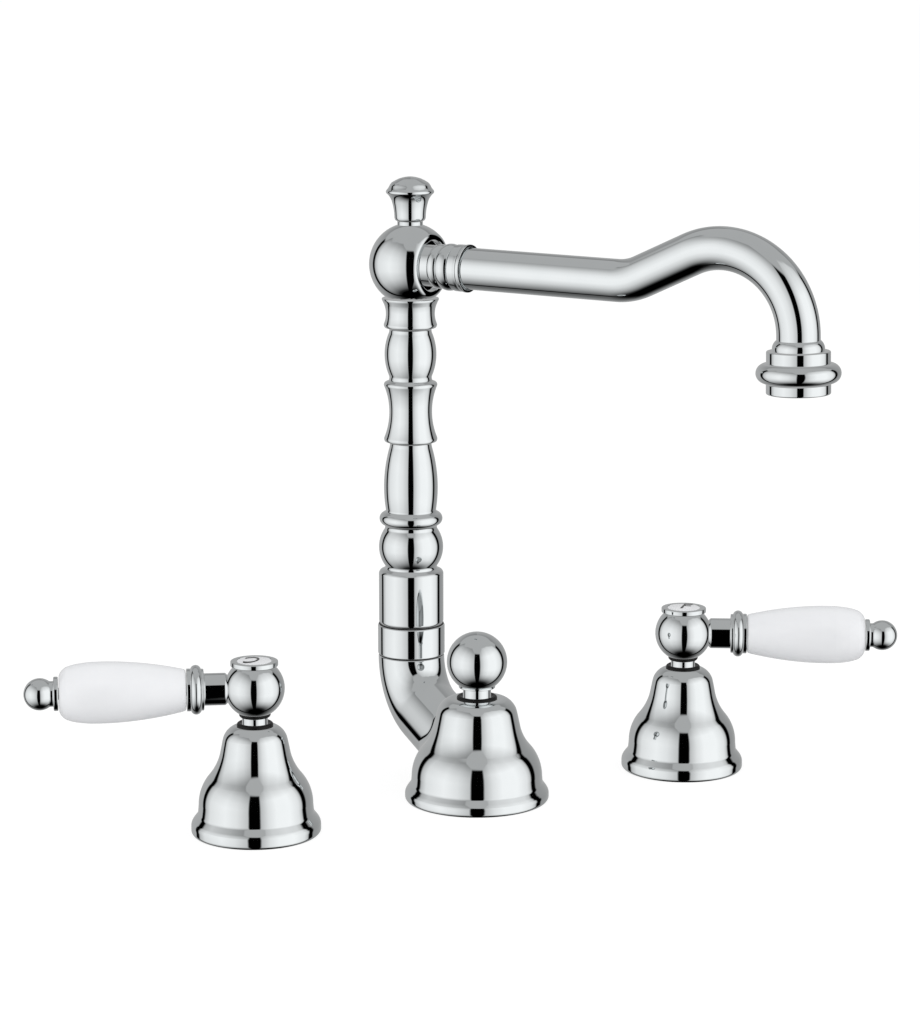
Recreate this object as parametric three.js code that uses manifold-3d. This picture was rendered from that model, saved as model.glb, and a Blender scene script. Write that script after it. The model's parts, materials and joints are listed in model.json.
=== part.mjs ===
import * as THREE from 'three';
import { mergeVertices } from 'three/addons/utils/BufferGeometryUtils.js';
import Module from 'manifold-3d';

// Three-hole basin mixer with porcelain levers and a swan-neck spout on a turned pillar.
// Millimetres, +Z up. The origin is the middle of the centre hole on the face of the deck.
// +X runs along the line of holes to the cold valve and +Y points away from the user.

const wasm = await Module();
wasm.setup();

// Fits and cuts
const fitGap = 0.3;
const cutOverrun = 3;
const samePoint = 0.001;
const threadReach = 0.9;

// Roundness of the facets
const largeSides = 18;
const mediumSides = 12;
const smallSides = 8;
const hexSides = 6;
const arcStep = THREE.MathUtils.degToRad(44);

// Layout on the deck
const valveSpacing = 100;
const columnSetback = 57.6;
const deckThickness = 20;

// Rest directions about +Z, counted from +X
const spoutAngle = THREE.MathUtils.degToRad(-59.5);
const hotLeverAngle = THREE.MathUtils.degToRad(158.2);
const coldLeverAngle = THREE.MathUtils.degToRad(-31.7);

// Bell of a side valve, a thin spun shell
const bellFlangeRadius = 25.7;
const bellHeight = 43.5;
const bellWall = 1.8;
// Rows of radius, height and bow, as shares of the flange radius, the height and the flange radius
const bellProfileShares = [
  [0.97, 0, 0],
  [1, 0.02, 0],
  [1, 0.06, 0],
  [0.86, 0.145, 0],
  [0.738, 0.541, 0.08],
  [0.51, 0.83, -0.038],
  [0.312, 1, 0.05],
];
const bellInsideShares = [
  [0.51, 0.83],
  [0.72, 0.55],
  [0.865, 0.38],
  [0.86, 0.145],
  [0.86, 0],
];

// Bell of the centre unit, cast in one with the elbow
const castFlangeRadius = 29.6;
const castBellHeight = 42.4;
const castBellProfileShares = [
  [0.975, 0, 0],
  [1, 0.02, 0],
  [1, 0.069, 0],
  [0.885, 0.164, 0],
  [0.703, 0.59, 0.098],
  [0.564, 0.85, -0.029],
  [0.385, 1, 0.064],
  [0.304, 1, 0],
];
const castBossWall = 3;
const castCavityRim = 6.4;
const castCavityDepth = 14;
const castBossSetback = 0.6;
const shankSocketDepth = 10;

// Elbow and the spigot that the pillar swivels on
const elbowRadius = 13.9;
const elbowBendRadius = 23;
const elbowSeamHeight = 49;
const elbowBuriedLength = 24.6;
const elbowSteps = 10;
const waterwayRadius = 5.2;
const spigotRadius = 8.6;
const spigotHeight = 31.7;
const portRadius = 4;
const portSetback = 8.3;

// Swivel band, glide ring and seals
const bandRadius = 14.15;
const bandHeight = 13.7;
const bandLip = 1.65;
const glideRingThickness = 1.2;
const sealSection = 0.6;
const sealGrooveDepth = 1.5;
const sealPitch = 4;
const lowerSealRise = 24.7;
const screwGrooveRise = 19.7;
const screwGrooveWidth = 4.6;
const screwGrooveDepth = 1.6;
const swivelScrewRadius = 1.9;
const screwKeyShare = 0.55;
const screwKeyDepth = 2.2;

// Turned pillar
const columnRadius = 13.65;
const columnHeight = 138.4;
const columnBoreRadius = 4.6;
// Rows of radius, height and bow, as shares of the pillar's radius, its height and its radius
const columnProfileShares = [
  [0.957, 0, 0],
  [1, 0.006, 0],
  [1, 0.158, 0],
  [0.957, 0.165, 0],
  [0.801, 0.171, 0],
  [0.801, 0.18, 0],
  [0.801, 0.295, 0.192],
  [0.801, 0.303, 0],
  [0.83, 0.307, 0],
  [0.83, 0.345, 0.142],
  [0.77, 0.35, 0],
  [0.64, 0.55, 0.115],
  [0.64, 0.56, 0],
  [0.8, 0.564, 0],
  [0.826, 0.572, 0],
  [0.826, 0.737, -0.17],
  [0.8, 0.744, 0],
  [0.66, 0.75, 0],
  [0.645, 0.761, 0],
  [0.645, 0.898, 0.148],
  [0.645, 0.907, 0],
  [0.79, 0.911, 0],
  [0.823, 0.919, 0],
  [0.82, 0.985, -0.075],
  [0.872, 0.995, 0],
  [0.872, 1, 0],
];

// Ball on the pillar with its side socket
const hubBallRadius = 17.1;
const hubBallSink = 3;
const hubSpigotRadius = 6.6;
const hubSpigotLength = 8.5;
const hubWaterTop = 4.2;
const socketFaceCut = 6;
const socketMargin = 0.8;
const socketDepth = 2.6;
const unionBoreRadius = 6;
const unionSpigotRadius = 8;
const unionSpigotLength = 5;

// Finial
const finialNeckRadius = 5.3;
const finialStudRadius = 3;
const finialStudLength = 8.2;
const finialRadius = 10;
const finialHeight = 20;
const finialProfileShares = [
  [0.53, 0, 0],
  [0.53, 0.085, 0],
  [0.61, 0.095, 0],
  [0.65, 0.14, 0],
  [0.79, 0.54, -0.035],
  [0.9, 0.62, 0],
  [1, 0.665, 0],
  [1, 0.705, 0],
  [0.885, 0.77, 0],
  [0.62, 0.92, 0.045],
  [0, 1, 0.035],
];

// Beaded union and ferrule, along the spout's axis from the centre of the ball
const spoutDroop = THREE.MathUtils.degToRad(0.7);
const unionProud = 1.1;
const unionLength = 13.6;
const unionProfileShares = [
  [0.88, 0, 0],
  [0.88, 0.31, 0],
  [0.9, 0.33, 0],
  [0.9, 0.57, 0.05],
  [0.88, 0.59, 0],
  [0.93, 0.62, 0],
  [0.93, 0.97, 0.07],
  [0.9, 1, 0],
];
const ferruleProud = 1.3;
const ferruleLength = 6;
const ferruleProfileShares = [
  [0.9, 0, 0],
  [0.97, 0.06, 0],
  [0.98, 0.5, 0],
  [0.955, 0.68, 0],
  [1, 0.8, 0],
  [1, 1, 0],
];

// Swan neck
const tubeRadius = 8.6;
const tubeWall = 1.3;
const tubeSocketDepth = 4;
const firstRunLength = 72.6;
const lowerBendRadius = 26;
const riseAngle = THREE.MathUtils.degToRad(25.6);
const riseLength = 23.5;
const archRadius = 33;
const outletLean = THREE.MathUtils.degToRad(1.3);
const dropLength = 1.7;
const tubeSides = 12;
const tubeBoreSides = 6;
const tubeSteps = 23;

// Outlet, along the water's way from the bottom of the visible tube
const skirtLength = 4.2;
const skirtProud = 1.6;
const skirtBow = 0.64;
const outletCollarProud = 3.95;
const outletCollarLength = 4.8;
const outletRingBulge = 4.1;
const outletRingThickness = 7.6;
const tubeInsertLength = 6.4;
const housingProud = 0.1;
const housingLength = 4.1;
const housingRounding = 0.5;
const housingThreadWall = 2.15;
const housingSpigotLength = 5.6;
const aeratorWall = 1.9;
const aeratorLength = 6.2;
const aeratorRecess = 0.8;
const aeratorHoleRadius = 1.1;
const aeratorRingShare = 0.6;
const aeratorRingHoles = 6;
const outletSealThickness = 1.4;

// Lift knob, rod and guide
const liftBallRadius = 12.35;
const liftFlatCut = 2.6;
const liftFlatClearance = 5.6;
const liftBossRadius = 5.75;
const liftRodRadius = 2.5;
const liftRodDepth = 58;
const liftRodGrip = 5.4;
const guideWall = 2.1;
const guideLength = 11.3;
const guideFloor = 3;
const guideRecess = 0.5;

// Fixing under the deck
const castShankRadius = 16;
const castShankWall = 2.6;
const castShankDepth = 48;
const washerThickness = 2;
const nutThickness = 8;
const castWasherWidth = 9.5;
const castNutWidth = 7;
const valveWasherWidth = 8;
const valveNutWidth = 6;
const gasketThickness = 1.3;
const castGasketRim = 4.4;
const castGasketWidth = 2.8;
const bellGasketRim = 4.5;
const bellGasketWidth = 2.9;

// Side valve body, cartridge and spindle
const valveShankRadius = 13.2;
const valveShankDepth = 52;
const valveFlangeClearance = 3.3;
const valveFlangeThickness = 3.2;
const valveTopRadius = 12.2;
const valveTopDrop = 20;
const chamberRadius = 8.3;
const chamberFloor = 8;
const valvePortRadius = 4.4;
const valvePortDepth = 14;
const valvePortOffset = 6.4;
const valvePassageRadius = 2.6;
const valvePassageOffset = 5.2;
const cartridgeShoulderRadius = 10;
const cartridgeShoulderDrop = 12.8;
const cartridgeRingRadius = 11.1;
const cartridgeRingDrop = 9.4;
const cartridgeNeckRadius = 6.5;
const cartridgeNeckDrop = 7;
const cartridgeBoreFloor = 12;
const spindleRadius = 3.3;
const stemBushWall = 1.8;
const stemBushLength = 3;
const stemBushRecess = 0.5;

// Lever hub
const hubRise = 15.2;
const hubRadius = 11.9;
const hubFlatCut = 1.9;
const hubTopCut = 3.1;
const hubStemRadius = 5.1;
const hubStemTaper = 0.8;
const hubRecessRadius = 6.2;
const hubRecessDepth = 5.5;
const hubWebThickness = 3.3;
const hubScrewRadius = 1.6;
const hubScrewLength = 12.6;
const hubScrewHeadRadius = 3.4;
const hubScrewHeadHeight = 2.2;
const hubScrewSlotWidth = 1;
const hubScrewSlotDepth = 0.9;
const indexRimRadius = 9.4;
const indexRimThickness = 2;
const indexRimRounding = 0.5;
const indexSpigotLength = 2.4;
const indexDiscRadius = 6.8;
const indexDiscThickness = 0.9;
const indexDiscDome = 0.5;

// Lever arm, grip and end knob, along the lever from the valve's axis
const armFaceCut = 1.8;
const armStudRadius = 3.2;
const armStudLength = 4;
const armRadius = 6.35;
const armChamfer = 1.05;
const armLength = 8.5;
const armCollarRadius = 8.2;
const armCollarLength = 1;
const armRingRadius = 9.6;
const armRingLength = 4.2;
const armSeatRadius = 8.4;
const armSeatLength = 1.5;
const armBoreDepth = 12;
const gripLength = 49.4;
const gripBoreRadius = 3.2;
const gripRadius = 12.2;
const gripProfileShares = [
  [0.665, 0, 0],
  [0.992, 0.683, 0.082],
  [0.9, 0.905, 0.045],
  [0.59, 1, 0.07],
];
const endDiscRadius = 6.7;
const endDiscLength = 1.8;
const endNeckRadius = 5;
const endNeckLength = 1.5;
const endBallRadius = 6.3;
const tieRodRadius = 2.4;
const endBoreDepth = 4;

// Sizes that follow
const lowerSealHeight = elbowSeamHeight + lowerSealRise;
const screwGrooveHeight = elbowSeamHeight + screwGrooveRise;
const castBossRadius = castShankRadius + castBossWall;
const castShankBore = castShankRadius - castShankWall;
const castCavityRadius = castFlangeRadius - castCavityRim;
const castGasketInner = castFlangeRadius - castGasketRim;
const hubBallLift = hubBallRadius - hubBallSink;
const socketFaceDistance = hubBallRadius - socketFaceCut;
const unionRadius = tubeRadius + unionProud;
const socketRadius = unionRadius + socketMargin;
const ferruleRadius = tubeRadius + ferruleProud;
const skirtRadius = tubeRadius + skirtProud;
const outletCollarRadius = tubeRadius + outletCollarProud;
const outletRingRadius = outletCollarRadius + outletRingBulge;
const housingRadius = outletCollarRadius + housingProud;
const housingSpigotRadius = outletCollarRadius - housingThreadWall;
const aeratorRadius = housingSpigotRadius - aeratorWall;
const guideTop = castBellHeight - guideRecess;
const guideBottom = guideTop - guideLength;
const guideRadius = liftBossRadius + fitGap + guideWall;
const liftFlatHeight = castBellHeight + liftFlatClearance;
const liftBallHeight = liftFlatHeight + liftBallRadius - liftFlatCut;
const liftBossBottom = guideBottom + guideFloor + fitGap;
const bellGasketInner = bellFlangeRadius - bellGasketRim;
const valveFlangeRadius = bellGasketInner - valveFlangeClearance;
const valveTopHeight = bellHeight - valveTopDrop;
const cartridgeShoulderHeight = bellHeight - cartridgeShoulderDrop;
const cartridgeRingHeight = bellHeight - cartridgeRingDrop;
const cartridgeNeckHeight = bellHeight - cartridgeNeckDrop;
const stemBushBore = hubStemRadius + fitGap;
const stemBushRadius = stemBushBore + stemBushWall;
const bellHoleRadius = stemBushRadius + fitGap;
const hubHeight = bellHeight + hubRise;
const hubFlatDrop = hubRadius - hubFlatCut;
const hubTopLift = hubRadius - hubTopCut;
const armFaceDistance = hubRadius - armFaceCut;

// Finishes
const finishes = {
  chrome: { color: '#d5d9da', roughness: 0.06, metalness: 1 },
  satinChrome: { color: '#c2c5c6', roughness: 0.3, metalness: 1 },
  porcelain: { color: '#f1f1ee', roughness: 0.12, metalness: 0 },
  brass: { color: '#c9a35a', roughness: 0.3, metalness: 1 },
  steel: { color: '#b9bcbe', roughness: 0.35, metalness: 1 },
  rubber: { color: '#1a1a1a', roughness: 0.7, metalness: 0 },
  nylon: { color: '#161616', roughness: 0.45, metalness: 0 },
  whitePlastic: { color: '#e9e9e6', roughness: 0.4, metalness: 0 },
};

/** An outline of radius and height that is turned about an axis. */
class Outline {
  constructor(radius, height) {
    this.points = [new THREE.Vector2(radius, height)];
  }

  // Adds a point unless it lies on the last one
  add(point) {
    if (point.distanceTo(this.points.at(-1)) > samePoint) {
      this.points.push(point);
    }
    return this;
  }

  line(radius, height) {
    return this.add(new THREE.Vector2(radius, height));
  }

  // A round stretch whose middle stands off its chord by the bow, to the right of its run
  arc(radius, height, bow) {
    const start = this.points.at(-1);
    const end = new THREE.Vector2(radius, height);
    if (bow === 0) {
      return this.add(end);
    }
    const halfChord = start.distanceTo(end) / 2;
    const halfAngle = 2 * Math.atan(Math.abs(bow) / halfChord);
    const bendRadius = halfChord / Math.sin(halfAngle);
    const along = end.clone().sub(start).normalize();
    const outward = new THREE.Vector2(along.y, -along.x).multiplyScalar(Math.sign(bow));
    const middle = start.clone().add(end).divideScalar(2);
    const steps = Math.max(2, Math.ceil((2 * halfAngle) / arcStep));
    for (let step = 1; step < steps; step += 1) {
      const turn = halfAngle * ((2 * step) / steps - 1);
      const rise = bendRadius * (Math.cos(turn) - Math.cos(halfAngle));
      const point = middle.clone().addScaledVector(along, bendRadius * Math.sin(turn));
      this.add(point.addScaledVector(outward, rise));
    }
    return this.add(end);
  }

  // A round stretch about a centre on the axis, up to a height
  ball(ballRadius, centreHeight, endHeight) {
    const turnAt = (height) => {
      const share = (height - centreHeight) / ballRadius;
      return Math.asin(THREE.MathUtils.clamp(share, -1, 1));
    };
    const startTurn = turnAt(this.points.at(-1).y);
    const endTurn = turnAt(endHeight);
    const steps = Math.max(2, Math.ceil((2 * Math.abs(endTurn - startTurn)) / arcStep));
    for (let step = 1; step < steps; step += 1) {
      const turn = startTurn + ((endTurn - startTurn) * step) / steps;
      this.line(ballRadius * Math.cos(turn), centreHeight + ballRadius * Math.sin(turn));
    }
    return this.line(ballSection(ballRadius, endHeight - centreHeight), endHeight);
  }

  // Rows of radius, height and bow, given as shares of a radius and a length
  profile(shares, radius, length, baseHeight) {
    for (const [radiusShare, heightShare, bowShare] of shares) {
      this.arc(radiusShare * radius, baseHeight + heightShare * length, bowShare * radius);
    }
    return this;
  }

  close() {
    return this.add(this.points[0].clone());
  }
}

/** The radius of a ball's section at a distance from its centre. */
function ballSection(ballRadius, distance) {
  return Math.sqrt(Math.max(0, ballRadius ** 2 - distance ** 2));
}

/** The geometry with shared vertices merged and empty triangles left out. */
function welded(geometry) {
  geometry.deleteAttribute('normal');
  geometry.deleteAttribute('uv');
  const merged = mergeVertices(geometry);
  const kept = [];
  const corners = merged.index.array;
  for (let first = 0; first < corners.length; first += 3) {
    const [a, b, c] = corners.slice(first, first + 3);
    if (a !== b && b !== c && c !== a) {
      kept.push(a, b, c);
    }
  }
  merged.setIndex(kept);
  return merged;
}

/** A manifold solid from a closed geometry. */
function solidOf(geometry) {
  const vertProperties = new Float32Array(geometry.attributes.position.array);
  const triVerts = new Uint32Array(geometry.index.array);
  return new wasm.Manifold(new wasm.Mesh({ numProp: 3, vertProperties, triVerts }));
}

/** The geometry of a manifold solid. */
function geometryOf(solid) {
  const { vertProperties, triVerts } = solid.getMesh();
  const geometry = new THREE.BufferGeometry();
  geometry.setAttribute('position', new THREE.BufferAttribute(vertProperties, 3));
  geometry.setIndex(new THREE.BufferAttribute(triVerts, 1));
  return geometry;
}

/** The body with the other bodies joined to it. */
function joined(body, ...others) {
  const solid = others.reduce((sum, other) => sum.add(solidOf(other)), solidOf(body));
  return geometryOf(solid);
}

/** The body with the tools cut out of it. */
function cut(body, ...tools) {
  const solid = tools.reduce((rest, tool) => rest.subtract(solidOf(tool)), solidOf(body));
  return geometryOf(solid);
}

/** A body turned about +Z from an outline. */
function turned(outline, sides) {
  const geometry = new THREE.LatheGeometry(outline.points, sides);
  geometry.rotateX(Math.PI / 2);
  return welded(geometry);
}

/** A plain rod about +Z between two heights. */
function rod(radius, bottom, top, sides) {
  return turned(new Outline(0, bottom).line(radius, bottom).line(radius, top).line(0, top), sides);
}

/** A ring about +Z between two heights. */
function ring(inner, outer, bottom, top, sides) {
  const outline = new Outline(inner, bottom).line(outer, bottom).line(outer, top);
  return turned(outline.line(inner, top).close(), sides);
}

/** The corners of a regular polygon. */
function polygonPoints(radius, sides) {
  return Array.from({ length: sides }, (_, index) => {
    const turn = (2 * Math.PI * index) / sides;
    return new THREE.Vector2(radius * Math.cos(turn), radius * Math.sin(turn));
  });
}

/** A round bar, or a tube where a bore is given, that follows a path. */
function swept(path, radius, sides, steps, bore) {
  const section = new THREE.Shape(polygonPoints(radius, sides));
  if (bore) {
    section.holes.push(new THREE.Path(polygonPoints(bore.radius, bore.sides)));
  }
  return welded(new THREE.ExtrudeGeometry(section, { steps, extrudePath: path }));
}

/** A flat bend in the X-Z plane, whose way turns up for a positive angle. */
class FlatBend extends THREE.Curve {
  constructor(start, heading, bendRadius, angle) {
    super();
    this.start = start;
    this.heading = heading;
    this.bendRadius = bendRadius;
    this.angle = angle;
  }

  getPoint(share, target = new THREE.Vector3()) {
    const side = Math.sign(this.angle);
    const turn = this.heading + this.angle * share;
    const across = Math.sin(turn) - Math.sin(this.heading);
    const up = Math.cos(this.heading) - Math.cos(turn);
    const reach = side * this.bendRadius;
    return target.set(this.start.x + reach * across, 0, this.start.z + reach * up);
  }
}

/** A way in the X-Z plane, drawn from its start by straight runs and bends. */
class FlatWay {
  constructor(x, z, heading) {
    this.path = new THREE.CurvePath();
    this.point = new THREE.Vector3(x, 0, z);
    this.heading = heading;
  }

  run(length) {
    if (length === 0) {
      return this;
    }
    const start = this.point.clone();
    this.point.x += length * Math.cos(this.heading);
    this.point.z += length * Math.sin(this.heading);
    this.path.add(new THREE.LineCurve3(start, this.point.clone()));
    return this;
  }

  bend(bendRadius, angle) {
    const curve = new FlatBend(this.point.clone(), this.heading, bendRadius, angle);
    this.path.add(curve);
    this.point = curve.getPoint(1);
    this.heading += angle;
    return this;
  }
}

/** A named mesh with its finish. */
function piece(name, geometry, finish) {
  const mesh = new THREE.Mesh(geometry, new THREE.MeshStandardMaterial(finishes[finish]));
  mesh.name = name;
  return mesh;
}

/** A body that was turned about +Z, laid along +X. */
function along(geometry) {
  return geometry.rotateY(Math.PI / 2);
}

// Centre unit

function castBell() {
  const grooveInner = castGasketInner - fitGap;
  const grooveOuter = castGasketInner + castGasketWidth + fitGap;
  const grooveDepth = gasketThickness + fitGap;
  const outline = new Outline(0, castBossSetback)
    .line(castBossRadius, castBossSetback)
    .line(castBossRadius, castCavityDepth)
    .line(castCavityRadius, castCavityDepth)
    .line(castCavityRadius, 0)
    .line(grooveInner, 0)
    .line(grooveInner, grooveDepth)
    .line(grooveOuter, grooveDepth)
    .line(grooveOuter, 0)
    .profile(castBellProfileShares, castFlangeRadius, castBellHeight, 0)
    .line(0, castBellHeight);
  return turned(outline, largeSides);
}

// The way down the pillar's axis and forward into the bell, laid in +X
function elbowWay(lengthAboveSeam, levelLength) {
  return new FlatWay(0, elbowSeamHeight + lengthAboveSeam, -Math.PI / 2)
    .run(lengthAboveSeam)
    .bend(elbowBendRadius, Math.PI / 2)
    .run(levelLength).path;
}

function placedElbow(geometry) {
  return geometry.rotateZ(-Math.PI / 2).translate(0, columnSetback, 0);
}

function spigot() {
  const top = elbowSeamHeight + spigotHeight;
  const grooved = spigotRadius - sealGrooveDepth;
  const bottom = elbowSeamHeight - elbowRadius;
  const outline = new Outline(0, bottom).line(spigotRadius, bottom);
  const grooves = [
    [screwGrooveHeight, screwGrooveWidth, spigotRadius - screwGrooveDepth],
    [lowerSealHeight, 2 * (sealSection + fitGap), grooved],
    [lowerSealHeight + sealPitch, 2 * (sealSection + fitGap), grooved],
  ];
  for (const [middle, width, radius] of grooves) {
    outline.line(spigotRadius, middle - width / 2).line(radius, middle - width / 2);
    outline.line(radius, middle + width / 2).line(spigotRadius, middle + width / 2);
  }
  outline.line(spigotRadius, top).line(0, top);
  return turned(outline, mediumSides).translate(0, columnSetback, 0);
}

function spoutBody() {
  const castWay = elbowWay(0, elbowBuriedLength);
  const elbow = placedElbow(swept(castWay, elbowRadius, mediumSides, elbowSteps));
  const levelLength = columnSetback - elbowBendRadius - portSetback;
  const borePath = elbowWay(spigotHeight + cutOverrun, levelLength);
  const waterway = placedElbow(swept(borePath, waterwayRadius, smallSides, elbowSteps));
  const portTop = elbowSeamHeight - elbowBendRadius;
  const port = rod(portRadius, shankSocketDepth - cutOverrun, portTop, smallSides);
  port.translate(0, portSetback, 0);
  const socket = rod(castShankRadius + 2 * fitGap, -cutOverrun, shankSocketDepth, largeSides);
  const pocket = rod(guideRadius + fitGap, guideBottom - fitGap, castBellHeight + cutOverrun, largeSides);
  const rodBore = rod(liftRodRadius + fitGap, 0, castBellHeight, mediumSides);
  const casting = joined(castBell(), elbow, spigot());
  return cut(casting, waterway, port, socket, pocket, rodBore);
}

function swivelBand() {
  const bore = spigotRadius + fitGap;
  const bottom = elbowSeamHeight + fitGap;
  const top = elbowSeamHeight + bandHeight - fitGap;
  const pocket = bandRadius - bandLip;
  const outline = new Outline(bore, bottom)
    .line(bandRadius, bottom)
    .line(bandRadius, top)
    .line(pocket, top)
    .line(pocket, top - glideRingThickness - fitGap)
    .line(bore, top - glideRingThickness - fitGap)
    .close();
  return turned(outline, largeSides);
}

function glideRing() {
  const inner = spigotRadius + 2 * fitGap;
  const top = elbowSeamHeight + bandHeight - fitGap;
  const outer = bandRadius - bandLip - fitGap;
  return ring(inner, outer, top - glideRingThickness, top, mediumSides);
}

function swivelSeal(height) {
  const middle = spigotRadius - sealSection;
  const [first, ...others] = polygonPoints(sealSection, hexSides);
  const outline = new Outline(middle + first.x, height + first.y);
  others.forEach((corner) => outline.line(middle + corner.x, height + corner.y));
  return turned(outline.close(), mediumSides);
}

const columnFoot = elbowSeamHeight + bandHeight;
const columnTop = columnFoot + columnHeight;
const hubBallHeight = columnTop + hubBallLift;

function column() {
  const socket = spigotRadius + fitGap;
  const socketTop = elbowSeamHeight + spigotHeight + fitGap;
  const hubBore = hubSpigotRadius + fitGap;
  const hubBoreFloor = columnTop - hubSpigotLength - fitGap;
  const outline = new Outline(socket, columnFoot)
    .profile(columnProfileShares, columnRadius, columnHeight, columnFoot)
    .line(hubBore, columnTop)
    .line(hubBore, hubBoreFloor)
    .line(columnBoreRadius, hubBoreFloor)
    .line(columnBoreRadius, socketTop)
    .line(socket, socketTop)
    .close();
  const screwHole = along(rod(swivelScrewRadius + fitGap, 0, columnRadius + cutOverrun, smallSides));
  return cut(turned(outline, largeSides), screwHole.rotateZ(Math.PI).translate(0, 0, screwGrooveHeight));
}

function swivelScrew() {
  const tip = spigotRadius - screwGrooveDepth + fitGap;
  const end = columnRadius - fitGap;
  const keyRadius = screwKeyShare * swivelScrewRadius;
  const outline = new Outline(0, tip)
    .line(swivelScrewRadius / 2, tip)
    .line(swivelScrewRadius, tip + swivelScrewRadius / 2)
    .line(swivelScrewRadius, end)
    .line(0, end);
  const keyWay = rod(keyRadius, end - screwKeyDepth, end + cutOverrun, hexSides);
  return along(cut(turned(outline, smallSides), keyWay)).rotateZ(Math.PI);
}

function spoutHub() {
  const seat = -hubBallLift + fitGap;
  const bottom = seat - hubSpigotLength;
  const studHole = finialStudRadius + fitGap;
  const top = Math.sqrt(hubBallRadius ** 2 - finialNeckRadius ** 2) - fitGap;
  const studFloor = top - finialStudLength;
  const outline = new Outline(0, hubWaterTop)
    .line(columnBoreRadius, hubWaterTop)
    .line(columnBoreRadius, bottom)
    .line(hubSpigotRadius, bottom)
    .line(hubSpigotRadius, seat)
    .line(ballSection(hubBallRadius, seat), seat)
    .ball(hubBallRadius, 0, top)
    .line(studHole, top)
    .line(studHole, studFloor)
    .line(0, studFloor);
  const floor = socketFaceDistance - socketDepth;
  const spigotBore = unionSpigotRadius + fitGap;
  const face = rod(hubBallRadius, socketFaceDistance, hubBallRadius + cutOverrun, mediumSides);
  const socket = rod(socketRadius, floor, hubBallRadius + cutOverrun, largeSides);
  const bore = rod(spigotBore, floor - unionSpigotLength - fitGap, hubBallRadius, mediumSides);
  const waterway = rod(columnBoreRadius, 0, hubBallRadius, smallSides);
  const tools = [face, socket, bore, waterway].map((tool) => along(tool).rotateY(spoutDroop));
  return cut(turned(outline, largeSides), ...tools);
}

function finial() {
  const bottom = Math.sqrt(hubBallRadius ** 2 - finialNeckRadius ** 2);
  const studBottom = bottom - finialStudLength;
  const outline = new Outline(0, studBottom)
    .line(finialStudRadius, studBottom)
    .line(finialStudRadius, bottom)
    .profile(finialProfileShares, finialRadius, finialHeight, bottom);
  return turned(outline, mediumSides);
}

const unionStart = socketFaceDistance - socketDepth + fitGap;
const ferruleStart = unionStart + unionLength + fitGap;
const tubeStart = ferruleStart + ferruleLength - tubeSocketDepth;

function spoutUnion() {
  const outline = new Outline(unionBoreRadius, unionStart - unionSpigotLength)
    .line(unionSpigotRadius, unionStart - unionSpigotLength)
    .line(unionSpigotRadius, unionStart)
    .profile(unionProfileShares, unionRadius, unionLength, unionStart)
    .line(unionBoreRadius, unionStart + unionLength)
    .close();
  return along(turned(outline, mediumSides));
}

function ferrule() {
  const tubeBore = tubeRadius + fitGap;
  const outline = new Outline(unionBoreRadius, ferruleStart)
    .profile(ferruleProfileShares, ferruleRadius, ferruleLength, ferruleStart)
    .line(tubeBore, ferruleStart + ferruleLength)
    .line(tubeBore, tubeStart - fitGap)
    .line(unionBoreRadius, tubeStart - fitGap)
    .close();
  return along(turned(outline, largeSides));
}

// The swan neck's way from the ferrule's seat to the end of the tube inside the outlet collar
function tubeWay(insertLength) {
  const archAngle = Math.PI / 2 - outletLean - spoutDroop + riseAngle;
  return new FlatWay(tubeStart, 0, 0)
    .run(firstRunLength)
    .bend(lowerBendRadius, riseAngle)
    .run(riseLength)
    .bend(archRadius, -archAngle)
    .run(dropLength + insertLength);
}

function spoutTube() {
  const bore = { radius: tubeRadius - tubeWall, sides: tubeBoreSides };
  return swept(tubeWay(tubeInsertLength).path, tubeRadius, tubeSides, tubeSteps, bore);
}

const collarTop = skirtLength;
const ringTop = skirtLength + outletCollarLength;
const ringBottom = ringTop + outletRingThickness;
const housingSeat = ringBottom + fitGap;

// The outlet's pieces are turned about +Z, with the water running to +Z
function outletCollar() {
  const tubeBore = tubeRadius + fitGap;
  const tubeFloor = tubeInsertLength + fitGap;
  const waterBore = tubeRadius - tubeWall;
  const threadBore = housingSpigotRadius + fitGap;
  const threadFloor = housingSeat - housingSpigotLength - outletSealThickness - 2 * fitGap;
  const outline = new Outline(tubeBore, 0)
    .line(tubeBore + fitGap, 0)
    .arc(skirtRadius, collarTop, skirtBow)
    .line(outletCollarRadius, collarTop)
    .line(outletCollarRadius, ringTop)
    .arc(outletCollarRadius, ringBottom, outletRingRadius - outletCollarRadius)
    .line(threadBore, ringBottom)
    .line(threadBore, threadFloor)
    .line(waterBore, threadFloor)
    .line(waterBore, tubeFloor)
    .line(tubeBore, tubeFloor)
    .close();
  return turned(outline, largeSides);
}

function aeratorHousing() {
  const insertBore = aeratorRadius + fitGap;
  const bottom = housingSeat + housingLength;
  const top = housingSeat - housingSpigotLength;
  const outline = new Outline(insertBore, top)
    .line(housingSpigotRadius, top)
    .line(housingSpigotRadius, housingSeat)
    .line(housingRadius, housingSeat)
    .line(housingRadius, bottom - housingRounding)
    .line(housingRadius - housingRounding, bottom)
    .line(insertBore, bottom)
    .close();
  return turned(outline, largeSides);
}

function aeratorInsert() {
  const bottom = housingSeat + housingLength - aeratorRecess;
  const body = rod(aeratorRadius, bottom - aeratorLength, bottom, mediumSides);
  const holeStart = bottom - aeratorLength - cutOverrun;
  const hole = () => rod(aeratorHoleRadius, holeStart, bottom + cutOverrun, hexSides);
  const centres = polygonPoints(aeratorRingShare * aeratorRadius, aeratorRingHoles);
  return cut(body, hole(), ...centres.map((centre) => hole().translate(centre.x, centre.y, 0)));
}

function outletSeal() {
  const bottom = housingSeat - housingSpigotLength - fitGap;
  return ring(aeratorRadius, housingSpigotRadius, bottom - outletSealThickness, bottom, mediumSides);
}

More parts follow.
